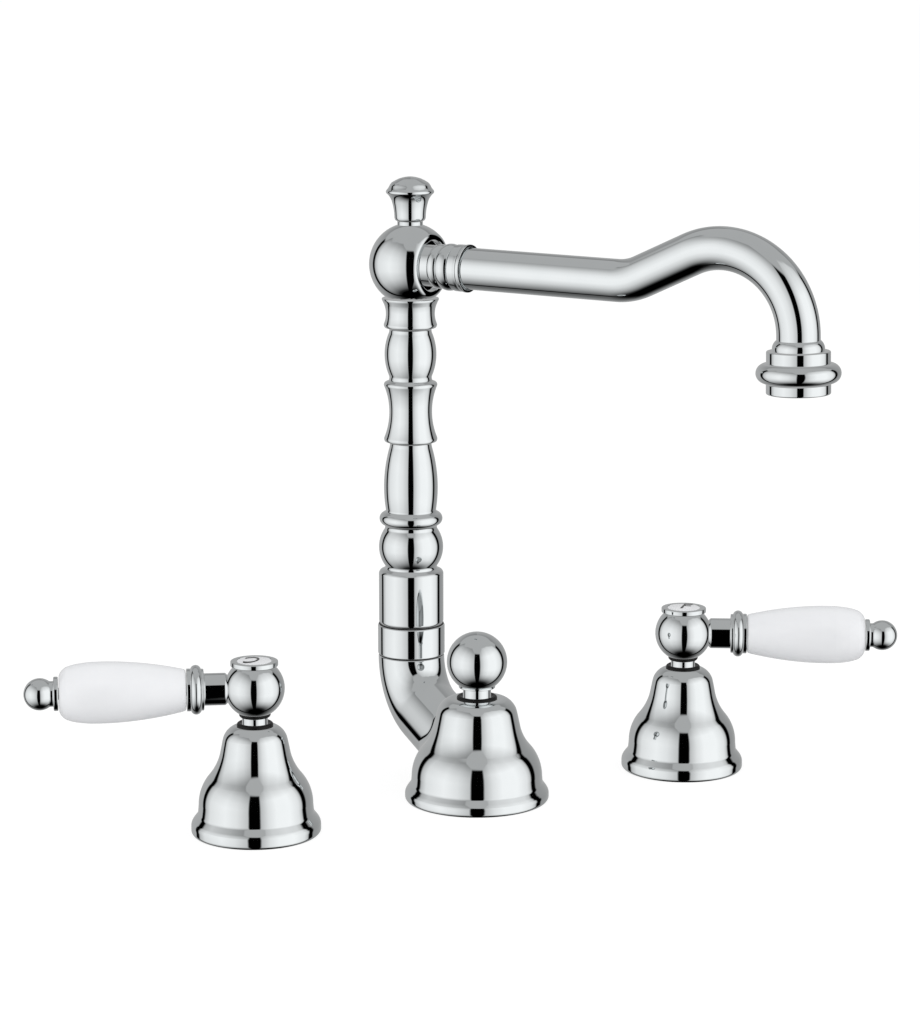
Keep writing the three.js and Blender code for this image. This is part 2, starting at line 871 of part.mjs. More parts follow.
function liftKnob() {
  const bore = liftRodRadius + fitGap;
  const rodTop = liftFlatHeight + liftRodGrip;
  const outline = new Outline(0, rodTop + fitGap)
    .line(bore, rodTop + fitGap)
    .line(bore, liftBossBottom)
    .line(liftBossRadius, liftBossBottom)
    .line(liftBossRadius, liftFlatHeight)
    .line(ballSection(liftBallRadius, liftBallHeight - liftFlatHeight), liftFlatHeight)
    .ball(liftBallRadius, liftBallHeight, liftBallHeight + liftBallRadius);
  return turned(outline, mediumSides);
}

function liftRod() {
  return rod(liftRodRadius, -liftRodDepth, liftFlatHeight + liftRodGrip, smallSides);
}

function rodGuide() {
  const outline = new Outline(liftRodRadius + fitGap, guideBottom)
    .line(guideRadius, guideBottom)
    .line(guideRadius, guideTop)
    .line(liftBossRadius + fitGap, guideTop)
    .line(liftBossRadius + fitGap, guideBottom + guideFloor)
    .line(liftRodRadius + fitGap, guideBottom + guideFloor)
    .close();
  return turned(outline, mediumSides);
}

function castShank() {
  return ring(castShankBore, castShankRadius, -castShankDepth, shankSocketDepth - fitGap, mediumSides);
}

function fixingWasher(shankRadius, width) {
  const inner = shankRadius + fitGap;
  return ring(inner, inner + width, -deckThickness - washerThickness, -deckThickness, mediumSides);
}

function backnut(shankRadius, width) {
  const bore = shankRadius + fitGap;
  const top = -deckThickness - washerThickness - fitGap;
  const section = new THREE.Shape(polygonPoints(bore + width, hexSides));
  const nut = new THREE.ExtrudeGeometry(section, { depth: nutThickness, bevelEnabled: false });
  nut.translate(0, 0, top - nutThickness);
  return cut(welded(nut), rod(bore, top - nutThickness - cutOverrun, top + cutOverrun, mediumSides));
}

function gasket(inner, width) {
  return ring(inner, inner + width, 0, gasketThickness, largeSides);
}

// Side valve

function valveBell() {
  const grooveInner = bellGasketInner - fitGap;
  const grooveOuter = bellGasketInner + bellGasketWidth + fitGap;
  const grooveDepth = gasketThickness + fitGap;
  const outline = new Outline(grooveOuter, 0);
  outline.profile(bellProfileShares, bellFlangeRadius, bellHeight, 0);
  outline.line(bellHoleRadius, bellHeight).line(bellHoleRadius, bellHeight - bellWall);
  // The inside runs from the crown to the foot at the wall's distance
  for (const [radiusShare, heightShare] of bellInsideShares) {
    outline.line(radiusShare * bellFlangeRadius - bellWall, heightShare * (bellHeight - bellWall));
  }
  outline.line(grooveInner, 0).line(grooveInner, grooveDepth).line(grooveOuter, grooveDepth);
  return turned(outline.close(), largeSides);
}

function stemBush() {
  const top = bellHeight - stemBushRecess;
  return ring(stemBushBore, stemBushRadius, top - stemBushLength, top, mediumSides);
}

function valveBody() {
  const outline = new Outline(0, -valveShankDepth)
    .line(valveShankRadius - threadReach, -valveShankDepth)
    .line(valveShankRadius, threadReach - valveShankDepth)
    .line(valveShankRadius, 0)
    .line(valveFlangeRadius, 0)
    .line(valveFlangeRadius, valveFlangeThickness)
    .line(valveTopRadius, valveFlangeThickness)
    .line(valveTopRadius, valveTopHeight)
    .line(chamberRadius, valveTopHeight)
    .line(chamberRadius, chamberFloor)
    .line(0, chamberFloor);
  const portTop = valvePortDepth - valveShankDepth;
  const tools = [-1, 1].flatMap((side) => {
    const port = rod(valvePortRadius, -valveShankDepth - cutOverrun, portTop, smallSides);
    const passage = rod(valvePassageRadius, -valveShankDepth, chamberFloor + cutOverrun, smallSides);
    port.translate(0, side * valvePortOffset, 0);
    passage.translate(0, side * valvePassageOffset, 0);
    return [port, passage];
  });
  return cut(turned(outline, mediumSides), ...tools);
}

function cartridge() {
  const bodyRadius = chamberRadius - fitGap;
  const bore = spindleRadius + fitGap;
  const outline = new Outline(0, chamberFloor + fitGap)
    .line(bodyRadius, chamberFloor + fitGap)
    .line(bodyRadius, valveTopHeight + fitGap)
    .line(cartridgeShoulderRadius, valveTopHeight + fitGap)
    .line(cartridgeShoulderRadius, cartridgeShoulderHeight)
    .line(cartridgeRingRadius, cartridgeShoulderHeight)
    .line(cartridgeRingRadius, cartridgeRingHeight)
    .line(cartridgeNeckRadius, cartridgeRingHeight)
    .line(cartridgeNeckRadius, cartridgeNeckHeight)
    .line(bore, cartridgeNeckHeight)
    .line(bore, cartridgeBoreFloor)
    .line(0, cartridgeBoreFloor);
  return turned(outline, mediumSides);
}

const webBottom = hubTopLift - hubRecessDepth - hubWebThickness;
const recessFloor = hubTopLift - hubRecessDepth;
const screwHoleRadius = hubScrewRadius + fitGap;
const screwEnd = recessFloor + fitGap - hubScrewLength;

function spindle() {
  const bottom = cartridgeBoreFloor + fitGap;
  const top = hubHeight + webBottom - fitGap;
  const holeFloor = hubHeight + screwEnd - fitGap;
  const outline = new Outline(0, bottom)
    .line(spindleRadius, bottom)
    .line(spindleRadius, top)
    .line(screwHoleRadius, top)
    .line(screwHoleRadius, holeFloor)
    .line(0, holeFloor);
  return turned(outline, smallSides);
}

// The hub's heights are counted from the centre of its ball
function leverHub() {
  const bore = spindleRadius + fitGap;
  const stemBottom = cartridgeNeckHeight + fitGap - hubHeight;
  const outline = new Outline(bore, stemBottom)
    .line(hubStemRadius, stemBottom)
    .line(hubStemRadius, -hubFlatDrop - hubStemTaper)
    .line(ballSection(hubRadius, hubFlatDrop), -hubFlatDrop)
    .ball(hubRadius, 0, hubTopLift)
    .line(hubRecessRadius, hubTopLift)
    .line(hubRecessRadius, recessFloor)
    .line(screwHoleRadius, recessFloor)
    .line(screwHoleRadius, webBottom)
    .line(bore, webBottom)
    .close();
  const spotFace = along(rod(armRadius, armFaceDistance, hubRadius + cutOverrun, mediumSides));
  const studFloor = armFaceDistance - armStudLength;
  const studHole = along(rod(armStudRadius + fitGap, studFloor, hubRadius, mediumSides));
  return cut(turned(outline, mediumSides), spotFace, studHole);
}

function hubScrew() {
  const seat = recessFloor + fitGap;
  const head = seat + hubScrewHeadHeight;
  const outline = new Outline(0, screwEnd)
    .line(hubScrewRadius, screwEnd)
    .line(hubScrewRadius, seat)
    .line(hubScrewHeadRadius, seat)
    .line(hubScrewHeadRadius, head)
    .line(0, head);
  const slotLength = 2 * hubScrewHeadRadius + cutOverrun;
  const slot = new THREE.BoxGeometry(slotLength, hubScrewSlotWidth, 2 * hubScrewSlotDepth);
  return cut(turned(outline, smallSides), welded(slot.translate(0, 0, head)));
}

function indexRim() {
  const seat = hubTopLift + fitGap;
  const top = seat + indexRimThickness;
  const pocket = indexDiscRadius + fitGap;
  const rimSpigotRadius = hubRecessRadius - fitGap;
  const outline = new Outline(0, seat - indexSpigotLength)
    .line(rimSpigotRadius, seat - indexSpigotLength)
    .line(rimSpigotRadius, seat)
    .line(indexRimRadius - indexRimRounding, seat)
    .line(indexRimRadius, seat + indexRimRounding)
    .line(indexRimRadius, top - indexRimRounding)
    .line(indexRimRadius - indexRimRounding, top)
    .line(pocket, top)
    .line(pocket, top - indexDiscThickness - fitGap)
    .line(0, top - indexDiscThickness - fitGap);
  return turned(outline, mediumSides);
}

function indexDisc() {
  const top = hubTopLift + fitGap + indexRimThickness;
  const domeRadius = (indexDiscRadius ** 2 + indexDiscDome ** 2) / (2 * indexDiscDome);
  const outline = new Outline(0, top - indexDiscThickness)
    .line(indexDiscRadius, top - indexDiscThickness)
    .line(indexDiscRadius, top)
    .ball(domeRadius, top + indexDiscDome - domeRadius, top + indexDiscDome);
  return turned(outline, mediumSides);
}

const armStart = armFaceDistance + fitGap;
const armEnd = armStart + armChamfer + armLength;
const armSeat = armEnd + armCollarLength + armRingLength + armSeatLength;
const gripStart = armSeat + fitGap;
const gripEnd = gripStart + gripLength;
const knobStart = gripEnd + fitGap;

function leverArm() {
  const bore = tieRodRadius + fitGap;
  const ringFoot = armCollarRadius - fitGap;
  const ringStart = armEnd + armCollarLength;
  const outline = new Outline(0, armStart - armStudLength + fitGap)
    .line(armStudRadius, armStart - armStudLength + fitGap)
    .line(armStudRadius, armStart)
    .line(armRadius - armChamfer, armStart)
    .line(armRadius, armStart + armChamfer)
    .line(armRadius, armEnd)
    .line(armCollarRadius, armEnd)
    .line(armCollarRadius, ringStart)
    .line(ringFoot, ringStart)
    .arc(ringFoot, ringStart + armRingLength, armRingRadius - ringFoot)
    .line(armSeatRadius, ringStart + armRingLength)
    .line(armSeatRadius, armSeat)
    .line(bore, armSeat)
    .line(bore, armSeat - armBoreDepth)
    .line(0, armSeat - armBoreDepth);
  return along(turned(outline, mediumSides));
}

function grip() {
  const outline = new Outline(gripBoreRadius, gripStart)
    .profile(gripProfileShares, gripRadius, gripLength, gripStart)
    .line(gripBoreRadius, gripEnd)
    .close();
  return along(turned(outline, mediumSides));
}

function tieRod() {
  const start = armSeat - armBoreDepth + fitGap;
  return along(rod(tieRodRadius, start, knobStart + endBoreDepth - fitGap, smallSides));
}

function endKnob() {
  const bore = tieRodRadius + fitGap;
  const neckEnd = knobStart + endDiscLength + endNeckLength;
  const centre = neckEnd + Math.sqrt(endBallRadius ** 2 - endNeckRadius ** 2);
  const outline = new Outline(0, knobStart + endBoreDepth)
    .line(bore, knobStart + endBoreDepth)
    .line(bore, knobStart)
    .line(endDiscRadius, knobStart)
    .line(endDiscRadius, knobStart + endDiscLength)
    .line(endNeckRadius, knobStart + endDiscLength)
    .line(endNeckRadius, neckEnd)
    .ball(endBallRadius, centre, centre + endBallRadius);
  return along(turned(outline, mediumSides));
}

// Assembly

function swivelSpout() {
  const spout = new THREE.Group();
  spout.position.y = columnSetback;
  spout.rotation.z = spoutAngle;
  spout.add(piece('column', column(), 'chrome'));

  const setScrew = piece('swivel_set_screw', swivelScrew(), 'steel');
  setScrew.position.z = screwGrooveHeight;
  spout.add(setScrew);

  const ball = new THREE.Group();
  ball.position.z = hubBallHeight;
  ball.add(piece('spout_hub', spoutHub(), 'chrome'));
  ball.add(piece('finial', finial(), 'chrome'));
  spout.add(ball);

  const arm = new THREE.Group();
  arm.rotation.y = spoutDroop;
  arm.add(piece('spout_union', spoutUnion(), 'chrome'));
  arm.add(piece('spout_ferrule', ferrule(), 'chrome'));
  arm.add(piece('spout_tube', spoutTube(), 'chrome'));
  ball.add(arm);

  const way = tubeWay(0);
  const outlet = new THREE.Group();
  outlet.position.copy(way.point);
  outlet.rotation.y = Math.PI / 2 - way.heading;
  outlet.add(piece('outlet_collar', outletCollar(), 'chrome'));
  outlet.add(piece('aerator_housing', aeratorHousing(), 'chrome'));
  outlet.add(piece('aerator_insert', aeratorInsert(), 'whitePlastic'));
  outlet.add(piece('aerator_seal', outletSeal(), 'rubber'));
  arm.add(outlet);
  return spout;
}

function centreUnit() {
  const unit = new THREE.Group();
  unit.add(piece('spout_body', spoutBody(), 'chrome'));

  const swivel = new THREE.Group();
  swivel.position.y = columnSetback;
  swivel.add(piece('swivel_band', swivelBand(), 'chrome'));
  swivel.add(piece('swivel_glide_ring', glideRing(), 'whitePlastic'));
  swivel.add(piece('swivel_seal_lower', swivelSeal(lowerSealHeight), 'rubber'));
  swivel.add(piece('swivel_seal_upper', swivelSeal(lowerSealHeight + sealPitch), 'rubber'));
  unit.add(swivel);

  unit.add(piece('rod_guide_bush', rodGuide(), 'nylon'));
  unit.add(piece('lift_knob', liftKnob(), 'chrome'));
  unit.add(piece('lift_rod', liftRod(), 'steel'));
  unit.add(piece('centre_shank', castShank(), 'brass'));
  unit.add(piece('centre_gasket', gasket(castGasketInner, castGasketWidth), 'rubber'));
  unit.add(piece('centre_fixing_washer', fixingWasher(castShankRadius, castWasherWidth), 'steel'));
  unit.add(piece('centre_backnut', backnut(castShankRadius, castNutWidth), 'brass'));
  return unit;
}

function sideValve(prefix, x, leverAngle) {
  const valve = new THREE.Group();
  valve.position.x = x;
  valve.add(piece(`${prefix}_bell`, valveBell(), 'chrome'));
  valve.add(piece(`${prefix}_stem_bush`, stemBush(), 'nylon'));
  valve.add(piece(`${prefix}_valve_body`, valveBody(), 'brass'));
  valve.add(piece(`${prefix}_cartridge`, cartridge(), 'brass'));
  valve.add(piece(`${prefix}_gasket`, gasket(bellGasketInner, bellGasketWidth), 'rubber'));
  valve.add(piece(`${prefix}_fixing_washer`, fixingWasher(valveShankRadius, valveWasherWidth), 'steel'));
  valve.add(piece(`${prefix}_backnut`, backnut(valveShankRadius, valveNutWidth), 'brass'));

  const lever = new THREE.Group();
  lever.rotation.z = leverAngle;
  lever.add(piece(`${prefix}_spindle`, spindle(), 'brass'));
  const hub = new THREE.Group();
  hub.position.z = hubHeight;
  hub.add(piece(`${prefix}_hub`, leverHub(), 'chrome'));
  hub.add(piece(`${prefix}_hub_screw`, hubScrew(), 'steel'));
  hub.add(piece(`${prefix}_index_rim`, indexRim(), 'chrome'));
  hub.add(piece(`${prefix}_index_disc`, indexDisc(), 'porcelain'));
  hub.add(piece(`${prefix}_lever_arm`, leverArm(), 'chrome'));
  hub.add(piece(`${prefix}_grip`, grip(), 'porcelain'));
  hub.add(piece(`${prefix}_tie_rod`, tieRod(), 'steel'));
  hub.add(piece(`${prefix}_end_knob`, endKnob(), 'chrome'));
  lever.add(hub);
  valve.add(lever);
  return valve;
}

const mixer = new THREE.Group();
mixer.add(centreUnit());
mixer.add(swivelSpout());
mixer.add(sideValve('hot', -valveSpacing, hotLeverAngle));
mixer.add(sideValve('cold', valveSpacing, coldLeverAngle));

export default mixer;
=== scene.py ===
"""Dresses the three-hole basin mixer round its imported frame.

Lengths in the classes are millimetres in the frame's own axes: +Z is up from the deck, +X runs
along the three holes to the cold valve, and +Y points away from the user. Angles are degrees.
"""

import json
import logging
import math
from collections.abc import Iterator
from contextlib import contextmanager
from dataclasses import dataclass, field
from enum import Enum
from functools import partial

import bpy
import numpy as np
from bpy.types import Material, Node, NodeSocket, NodeTree, Object
from mathutils import Matrix, Vector


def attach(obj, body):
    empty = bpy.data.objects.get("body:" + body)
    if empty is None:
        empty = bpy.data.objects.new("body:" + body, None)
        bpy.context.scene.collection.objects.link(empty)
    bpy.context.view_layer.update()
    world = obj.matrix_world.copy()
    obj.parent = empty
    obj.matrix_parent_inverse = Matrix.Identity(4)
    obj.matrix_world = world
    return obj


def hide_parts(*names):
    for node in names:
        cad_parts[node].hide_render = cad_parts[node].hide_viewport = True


log = logging.getLogger("mixer")
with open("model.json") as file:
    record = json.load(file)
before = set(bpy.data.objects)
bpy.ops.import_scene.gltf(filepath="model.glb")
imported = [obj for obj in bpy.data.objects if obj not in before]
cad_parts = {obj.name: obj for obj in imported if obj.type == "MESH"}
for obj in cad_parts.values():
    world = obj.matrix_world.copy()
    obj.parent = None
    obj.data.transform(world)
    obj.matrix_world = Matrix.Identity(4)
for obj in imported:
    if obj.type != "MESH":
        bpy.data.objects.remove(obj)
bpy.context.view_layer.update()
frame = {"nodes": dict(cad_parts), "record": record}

MM = 0.001
# Mesh points nearer than this, in metres, are merged
MERGE = 2e-6
# How far from its point a turned edge is rounded, where a row doesn't say
EDGE = 0.35
# Pieces that meet leave this much room between their faces
GAP = 0.3
# A round stretch has steps of at most this angle and this length, and at least this many
ARC_STEP = math.radians(5)
ARC_REACH = 0.8
LEAST_STEPS = 4
# A rounded corner takes this share of the room beside it, and a step for every such turn
CORNER_ROOM = 0.49
CORNER_STEP = math.radians(14)
# Outline points nearer than these are one, before and after the corners are rounded
SAME_POINT = 0.001
SAME_STEP = 0.004
# Faces that meet at less than this angle are shaded as one surface
SMOOTH_ANGLE = math.radians(42)
# Facets round a spun piece
FINE = 128
MEDIUM = 96
COARSE = 64

# Sizes that several pieces share: the pillar's axis, its seams and bore, and the spout's tube
SETBACK = 57.6
SEAM_HEIGHT = 49.0
BAND_HEIGHT = 13.7
PILLAR_BORE = 8.9
TUBE_RADIUS = 8.6
TUBE_DROOP = 0.7

Rows = tuple[tuple[float, ...], ...]
Value = NodeSocket | float


# Modelling by hand


def only(piece: Object) -> None:
    """Selects one object and makes it the active one."""
    bpy.ops.object.select_all(action="DESELECT")
    piece.select_set(True)
    bpy.context.view_layer.objects.active = piece


@contextmanager
def editing(piece: Object) -> Iterator[None]:
    """Opens a piece in edit mode with its whole mesh selected, and closes it again."""
    only(piece)
    bpy.ops.object.mode_set(mode="EDIT")
    bpy.ops.mesh.select_all(action="SELECT")
    yield
    bpy.ops.object.mode_set(mode="OBJECT")


def weld() -> None:
    """Merges the doubled points of the mesh being edited and turns its faces outward."""
    bpy.ops.mesh.select_all(action="SELECT")
    bpy.ops.mesh.remove_doubles(threshold=MERGE)
    bpy.ops.mesh.dissolve_degenerate(threshold=MERGE)
    bpy.ops.mesh.normals_make_consistent(inside=False)


class Outline:
    """A half section of radius and height that is spun about an axis."""

    def __init__(self, radius: float, height: float) -> None:
        """Starts the outline at a point."""
        self.points = [Vector((radius, height))]
        self.soft = [0.0]

    def line(self, radius: float, height: float, soft: float = EDGE) -> "Outline":
        """Runs straight to a point.

        Args:
            radius: The point's distance from the axis.
            height: The point's place along the axis.
            soft: How far from the point its corner is rounded.

        Returns:
            The outline itself.
        """
        point = Vector((radius, height))
        if (point - self.points[-1]).length > SAME_POINT:
            self.points.append(point)
            self.soft.append(soft)
        return self

    def arc(self, radius: float, height: float, bow: float, soft: float = EDGE) -> "Outline":
        """Runs in a round stretch to a point.

        Args:
            radius: The end point's distance from the axis.
            height: The end point's place along the axis.
            bow: How far the stretch's middle stands off its chord, to the right of its run.
            soft: How far from the end point its corner is rounded.

        Returns:
            The outline itself.
        """
        start, end = self.points[-1], Vector((radius, height))
        if bow:
            half_chord = (end - start).length / 2
            half_angle = 2 * math.atan(abs(bow) / half_chord)
            reach = half_chord / math.sin(half_angle)
            along = (end - start).normalized()
            outward = Vector((along.y, -along.x)) * math.copysign(1, bow)
            middle = (start + end) / 2
            wanted = max(2 * half_angle / ARC_STEP, 2 * half_chord / ARC_REACH)
            steps = max(math.ceil(wanted), LEAST_STEPS)
            for step in range(1, steps):
                turn = half_angle * (2 * step / steps - 1)
                rise = reach * (math.cos(turn) - math.cos(half_angle))
                point = middle + along * (reach * math.sin(turn)) + outward * rise
                self.line(point.x, point.y, 0)
        return self.line(radius, height, soft)

    def ball(self, radius: float, centre: float, end: float, soft: float = EDGE) -> "Outline":
        """Follows a ball about a centre on the axis.

        Args:
            radius: The ball's radius.
            centre: The height of the ball's centre.
            end: The height at which the stretch ends.
            soft: How far from the end its corner is rounded.

        Returns:
            The outline itself.
        """
        shares = ((height - centre) / radius for height in (self.points[-1].y, end))
        first, last = (math.asin(max(-1.0, min(1.0, share))) for share in shares)
        steps = max(LEAST_STEPS, math.ceil(abs(last - first) / ARC_STEP))
        for step in range(1, steps + 1):
            turn = first + (last - first) * step / steps
            at_end = soft if step == steps else 0
            self.line(radius * math.cos(turn), centre + radius * math.sin(turn), at_end)
        return self

    def profile(
        self, rows: Rows, radius: float = 1, length: float = 1, base: float = 0
    ) -> "Outline":
        """Follows rows of radius, height, bow and, where it isn't an edge's, softness.

        Args:
            rows: Shares of the radius, of the length and of the radius, and a softness in mm.
            radius: The radius that the shares are of.
            length: The length that the height's shares are of.
            base: The height at which the rows start.

        Returns:
            The outline itself.
        """
        for across, along, bow, *soft in rows:
            self.arc(across * radius, base + along * length, bow * radius, *soft)
        return self

    def close(self) -> "Outline":
        """Runs back to the first point."""
        return self.line(*self.points[0], 0)

    def way(self) -> list[Vector]:
        """Gives the outline's points with its corners rounded.

        Returns:
            The points in their order.
        """
        spots = np.array([tuple(point) for point in self.points])
        run = np.concatenate(([0], np.cumsum(np.hypot(*np.diff(spots, axis=0).T))))
        last = len(spots) - 1
        corners = [0, *(index for index in range(1, last) if self.soft[index]), last]

        def at(distance: float) -> Vector:
            """The point at a distance along the outline."""
            return Vector([np.interp(distance, run, axis) for axis in spots.T])

        cuts = []
        for before, corner, after in zip(corners, corners[1:], corners[2:]):
            room = min(run[corner] - run[before], run[after] - run[corner])
            reach = min(self.soft[corner], CORNER_ROOM * room)
            cuts.append((run[corner] - reach, run[corner] + reach, self.points[corner]))
        result, passed = [], -1.0
        for index, point in enumerate(self.points):
            while cuts and run[index] > cuts[0][0]:
                low, passed, middle = cuts.pop(0)
                start, end = at(low), at(passed)
                turn = (middle - start).angle(end - middle, 0.0)
                steps = max(2, math.ceil(turn / CORNER_STEP))
                for share in (step / steps for step in range(steps + 1)):
                    ends = start * (1 - share) ** 2 + end * share**2
                    result.append(ends + middle * (2 * share * (1 - share)))
            if run[index] > passed:
                result.append(point)
        kept = [result[0]]
        for point in result[1:]:
            if (point - kept[-1]).length > SAME_STEP:
                kept.append(point)
        return kept


def spun(name: str, outline: Outline, steps: int = MEDIUM) -> Object:
    """Makes a piece by spinning an outline once round +Z.

    Args:
        name: The piece's name.
        outline: The half section.
        steps: How many facets go round.

    Returns:
        The closed piece, about the world's Z axis.
    """
    way = [Vector((point.x, 0, point.y)) * MM for point in outline.way()]
    bpy.ops.object.select_all(action="DESELECT")
    bpy.ops.mesh.primitive_plane_add(size=MM, location=way[0])
    piece = bpy.context.object
    piece.name = name
    bpy.ops.object.transform_apply(location=True)
    with editing(piece):
        bpy.ops.mesh.merge(type="CENTER")
        for here, there in zip(way, way[1:]):
            bpy.ops.mesh.extrude_region_move(TRANSFORM_OT_translate={"value": there - here})
        bpy.ops.mesh.select_all(action="SELECT")
        bpy.ops.mesh.spin(steps=steps, angle=2 * math.pi, center=(0, 0, 0), axis=(0, 0, 1))
        weld()
    return piece


def place(piece: Object, where: Matrix) -> Object:
    """Moves a piece's mesh to its place and leaves its object at the origin.

    Args:
        piece: The piece.
        where: The place, in metres.

    Returns:
        The piece.
    """
    only(piece)
    piece.matrix_world = where
    bpy.ops.object.transform_apply(location=True, rotation=True, scale=True)
    return piece


def smooth(piece: Object) -> Object:
    """Shades a piece smooth, with flat faces kept flat between its rounded edges."""
    only(piece)
    bpy.ops.object.shade_smooth_by_angle(angle=SMOOTH_ANGLE)
    bpy.ops.object.modifier_add(type="WEIGHTED_NORMAL")
    piece.modifiers[-1].keep_sharp = True
    bpy.ops.object.modifier_apply(modifier=piece.modifiers[-1].name)
    return piece


def copied(piece: Object, name: str) -> Object:
    """Copies a piece, with a mesh of its own, under another name."""
    twin = piece.copy()
    twin.data = piece.data.copy()
    twin.name = name
    bpy.context.scene.collection.objects.link(twin)
    return twin


def shift(x: float, y: float, z: float) -> Matrix:
    """The move by a distance."""
    return Matrix.Translation(Vector((x, y, z)) * MM)


def turn_about(angle: float, axis: str) -> Matrix:
    """The turn by an angle about an axis."""
    return Matrix.Rotation(math.radians(angle), 4, axis)


ALONG_X = turn_about(90, "Y")
ON_PILLAR = shift(0, SETBACK, 0)


# Materials


def linear(colour: str) -> tuple[float, float, float, float]:
    """Turns an sRGB hex colour into linear red, green, blue and an alpha of 1."""
    shares = [int(colour[i : i + 2], 16) / 255 for i in (1, 3, 5)]
    red, green, blue = (s / 12.92 if s <= 0.04045 else ((s + 0.055) / 1.055) ** 2.4 for s in shares)
    return red, green, blue, 1.0


def add_node(tree: NodeTree, kind: str, links: dict | None = None, **settings: object) -> Node:
    """Adds a shader node with its settings and links.

    Args:
        tree: The tree that the node goes in.
        kind: The node's type, without its first word.
        links: Input names or numbers, each with the socket or value that it takes.
        settings: The node's own properties.

    Returns:
        The node.
    """
    node = tree.nodes.new(f"ShaderNode{kind}")
    for key, value in settings.items():
        setattr(node, key, value)
    for key, value in (links or {}).items():
        if isinstance(value, NodeSocket):
            tree.links.new(value, node.inputs[key])
        else:
            node.inputs[key].default_value = value
    return node


def cleared(owner: Material | bpy.types.World) -> NodeTree:
    """Turns a material's or a world's nodes on and empties its tree."""
    owner.use_nodes = True
    owner.node_tree.nodes.clear()
    return owner.node_tree


@dataclass(frozen=True)
class Finish:
    """What every finish has: its colours, its gloss and the size of its unevenness."""

    name: str
    colour: str
    worn: str
    metallic: float
    roughness: tuple[float, float]
    grain: float
    bump: float
    coat: float = 0.0
    stretch: tuple[float, float, float] = (1.0, 1.0, 1.0)
    ior: float | None = None
    detail: float = 4.0
    detail_roughness: float = 0.55
    relief_share: float = 0.2
    coat_roughness: float = 0.04

    def material(self) -> Material:
        """Builds the material.

        Returns:
            A material whose colour, gloss and relief vary with the object's own coordinates.
        """
        material = bpy.data.materials.new(self.name)
        tree = cleared(material)
        add = partial(add_node, tree)
        own = add("TexCoord").outputs["Object"]
        spot = add("Mapping", {"Vector": own, "Scale": self.stretch}).outputs[0]
        # The noise's scale is turns per metre, so a grain of one millimetre is a scale of 1000
        look = {"Detail": self.detail, "Roughness": self.detail_roughness}
        noise = add("TexNoise", {"Vector": spot, "Scale": 1000 / self.grain, **look}).outputs["Fac"]
        tones = {0: noise, 6: linear(self.colour), 7: linear(self.worn)}
        least, most = self.roughness
        gloss = {"Value": noise, "To Min": least, "To Max": most}
        depth = self.grain * MM * self.relief_share
        relief = {"Height": noise, "Strength": self.bump, "Distance": depth}
        inputs = {
            "Base Color": add("Mix", tones, data_type="RGBA").outputs[2],
            "Metallic": self.metallic,
            "Roughness": add("MapRange", gloss).outputs[0],
            "Normal": add("Bump", relief).outputs[0],
            "Coat Weight": self.coat,
            "Coat Roughness": self.coat_roughness,
        }
        if self.ior is not None:
            inputs["IOR"] = self.ior
        shader = add("BsdfPrincipled", inputs)
        add("OutputMaterial", {"Surface": shader.outputs[0]})
        return material


class Finishes(Enum):
    """The finishes of the mixer, each named for what it is and how it was made."""

    # Bright chromium over polished brass is a mirror whose slight unevenness comes from buffing
    CHROME = Finish("bright_chrome_plate", "#DCDFE0", "#D6DADB", 1.0, (0.012, 0.03), 9.0, 0.004)
    # A glazed white body is soft white, and its glaze pools in slow waves
    PORCELAIN = Finish(
        "glazed_porcelain", "#F3F4F6", "#EEEFF2", 0.0, (0.2, 0.28), 6.0, 0.02, 0.25, ior=1.5
    )
    # Turned brass keeps the fine rings of the tool
    BRASS = Finish(
        "turned_brass", "#C79B52", "#A87E3C", 1.0, (0.22, 0.4), 1.2, 0.12, stretch=(1, 1, 4)
    )
    # Stainless steel from the bar has a dull, drawn surface
    STEEL = Finish("drawn_stainless_steel", "#B9BBBC", "#9C9FA1", 1.0, (0.25, 0.42), 0.9, 0.1)
    # Moulded rubber is black with a faint sheen
    RUBBER = Finish("moulded_rubber", "#060606", "#0A0A0A", 0.0, (0.35, 0.5), 0.7, 0.12, ior=1.3)
    # Moulded nylon is black with a fine satin skin
    BLACK_NYLON = Finish(
        "moulded_black_nylon", "#0E0E0F", "#1A1A1B", 0.0, (0.3, 0.42), 0.5, 0.1, ior=1.53
    )
    # Natural nylon is milky white and waxy
    WHITE_NYLON = Finish(
        "moulded_white_nylon", "#E2E0D6", "#D5D3C8", 0.0, (0.35, 0.5), 0.6, 0.08, ior=1.53
    )
    # The aerator's moulded acetal is plain white and slightly glossy
    ACETAL = Finish(
        "moulded_white_acetal", "#E9E9E6", "#DDDDDA", 0.0, (0.25, 0.38), 0.6, 0.05, ior=1.48
    )
    # Black enamel is filled into the letters and stands just proud of the glaze
    ENAMEL = Finish("black_enamel", "#0A0A0B", "#151516", 0.0, (0.15, 0.25), 0.8, 0.03, ior=1.5)


SLOTS = {
    "chrome": Finishes.CHROME,
    "porcelain": Finishes.PORCELAIN,
    "brass": Finishes.BRASS,
    "steel": Finishes.STEEL,
    "rubber": Finishes.RUBBER,
    "nylon_black": Finishes.BLACK_NYLON,
    "nylon_white": Finishes.WHITE_NYLON,
    "plastic_white": Finishes.ACETAL,
}


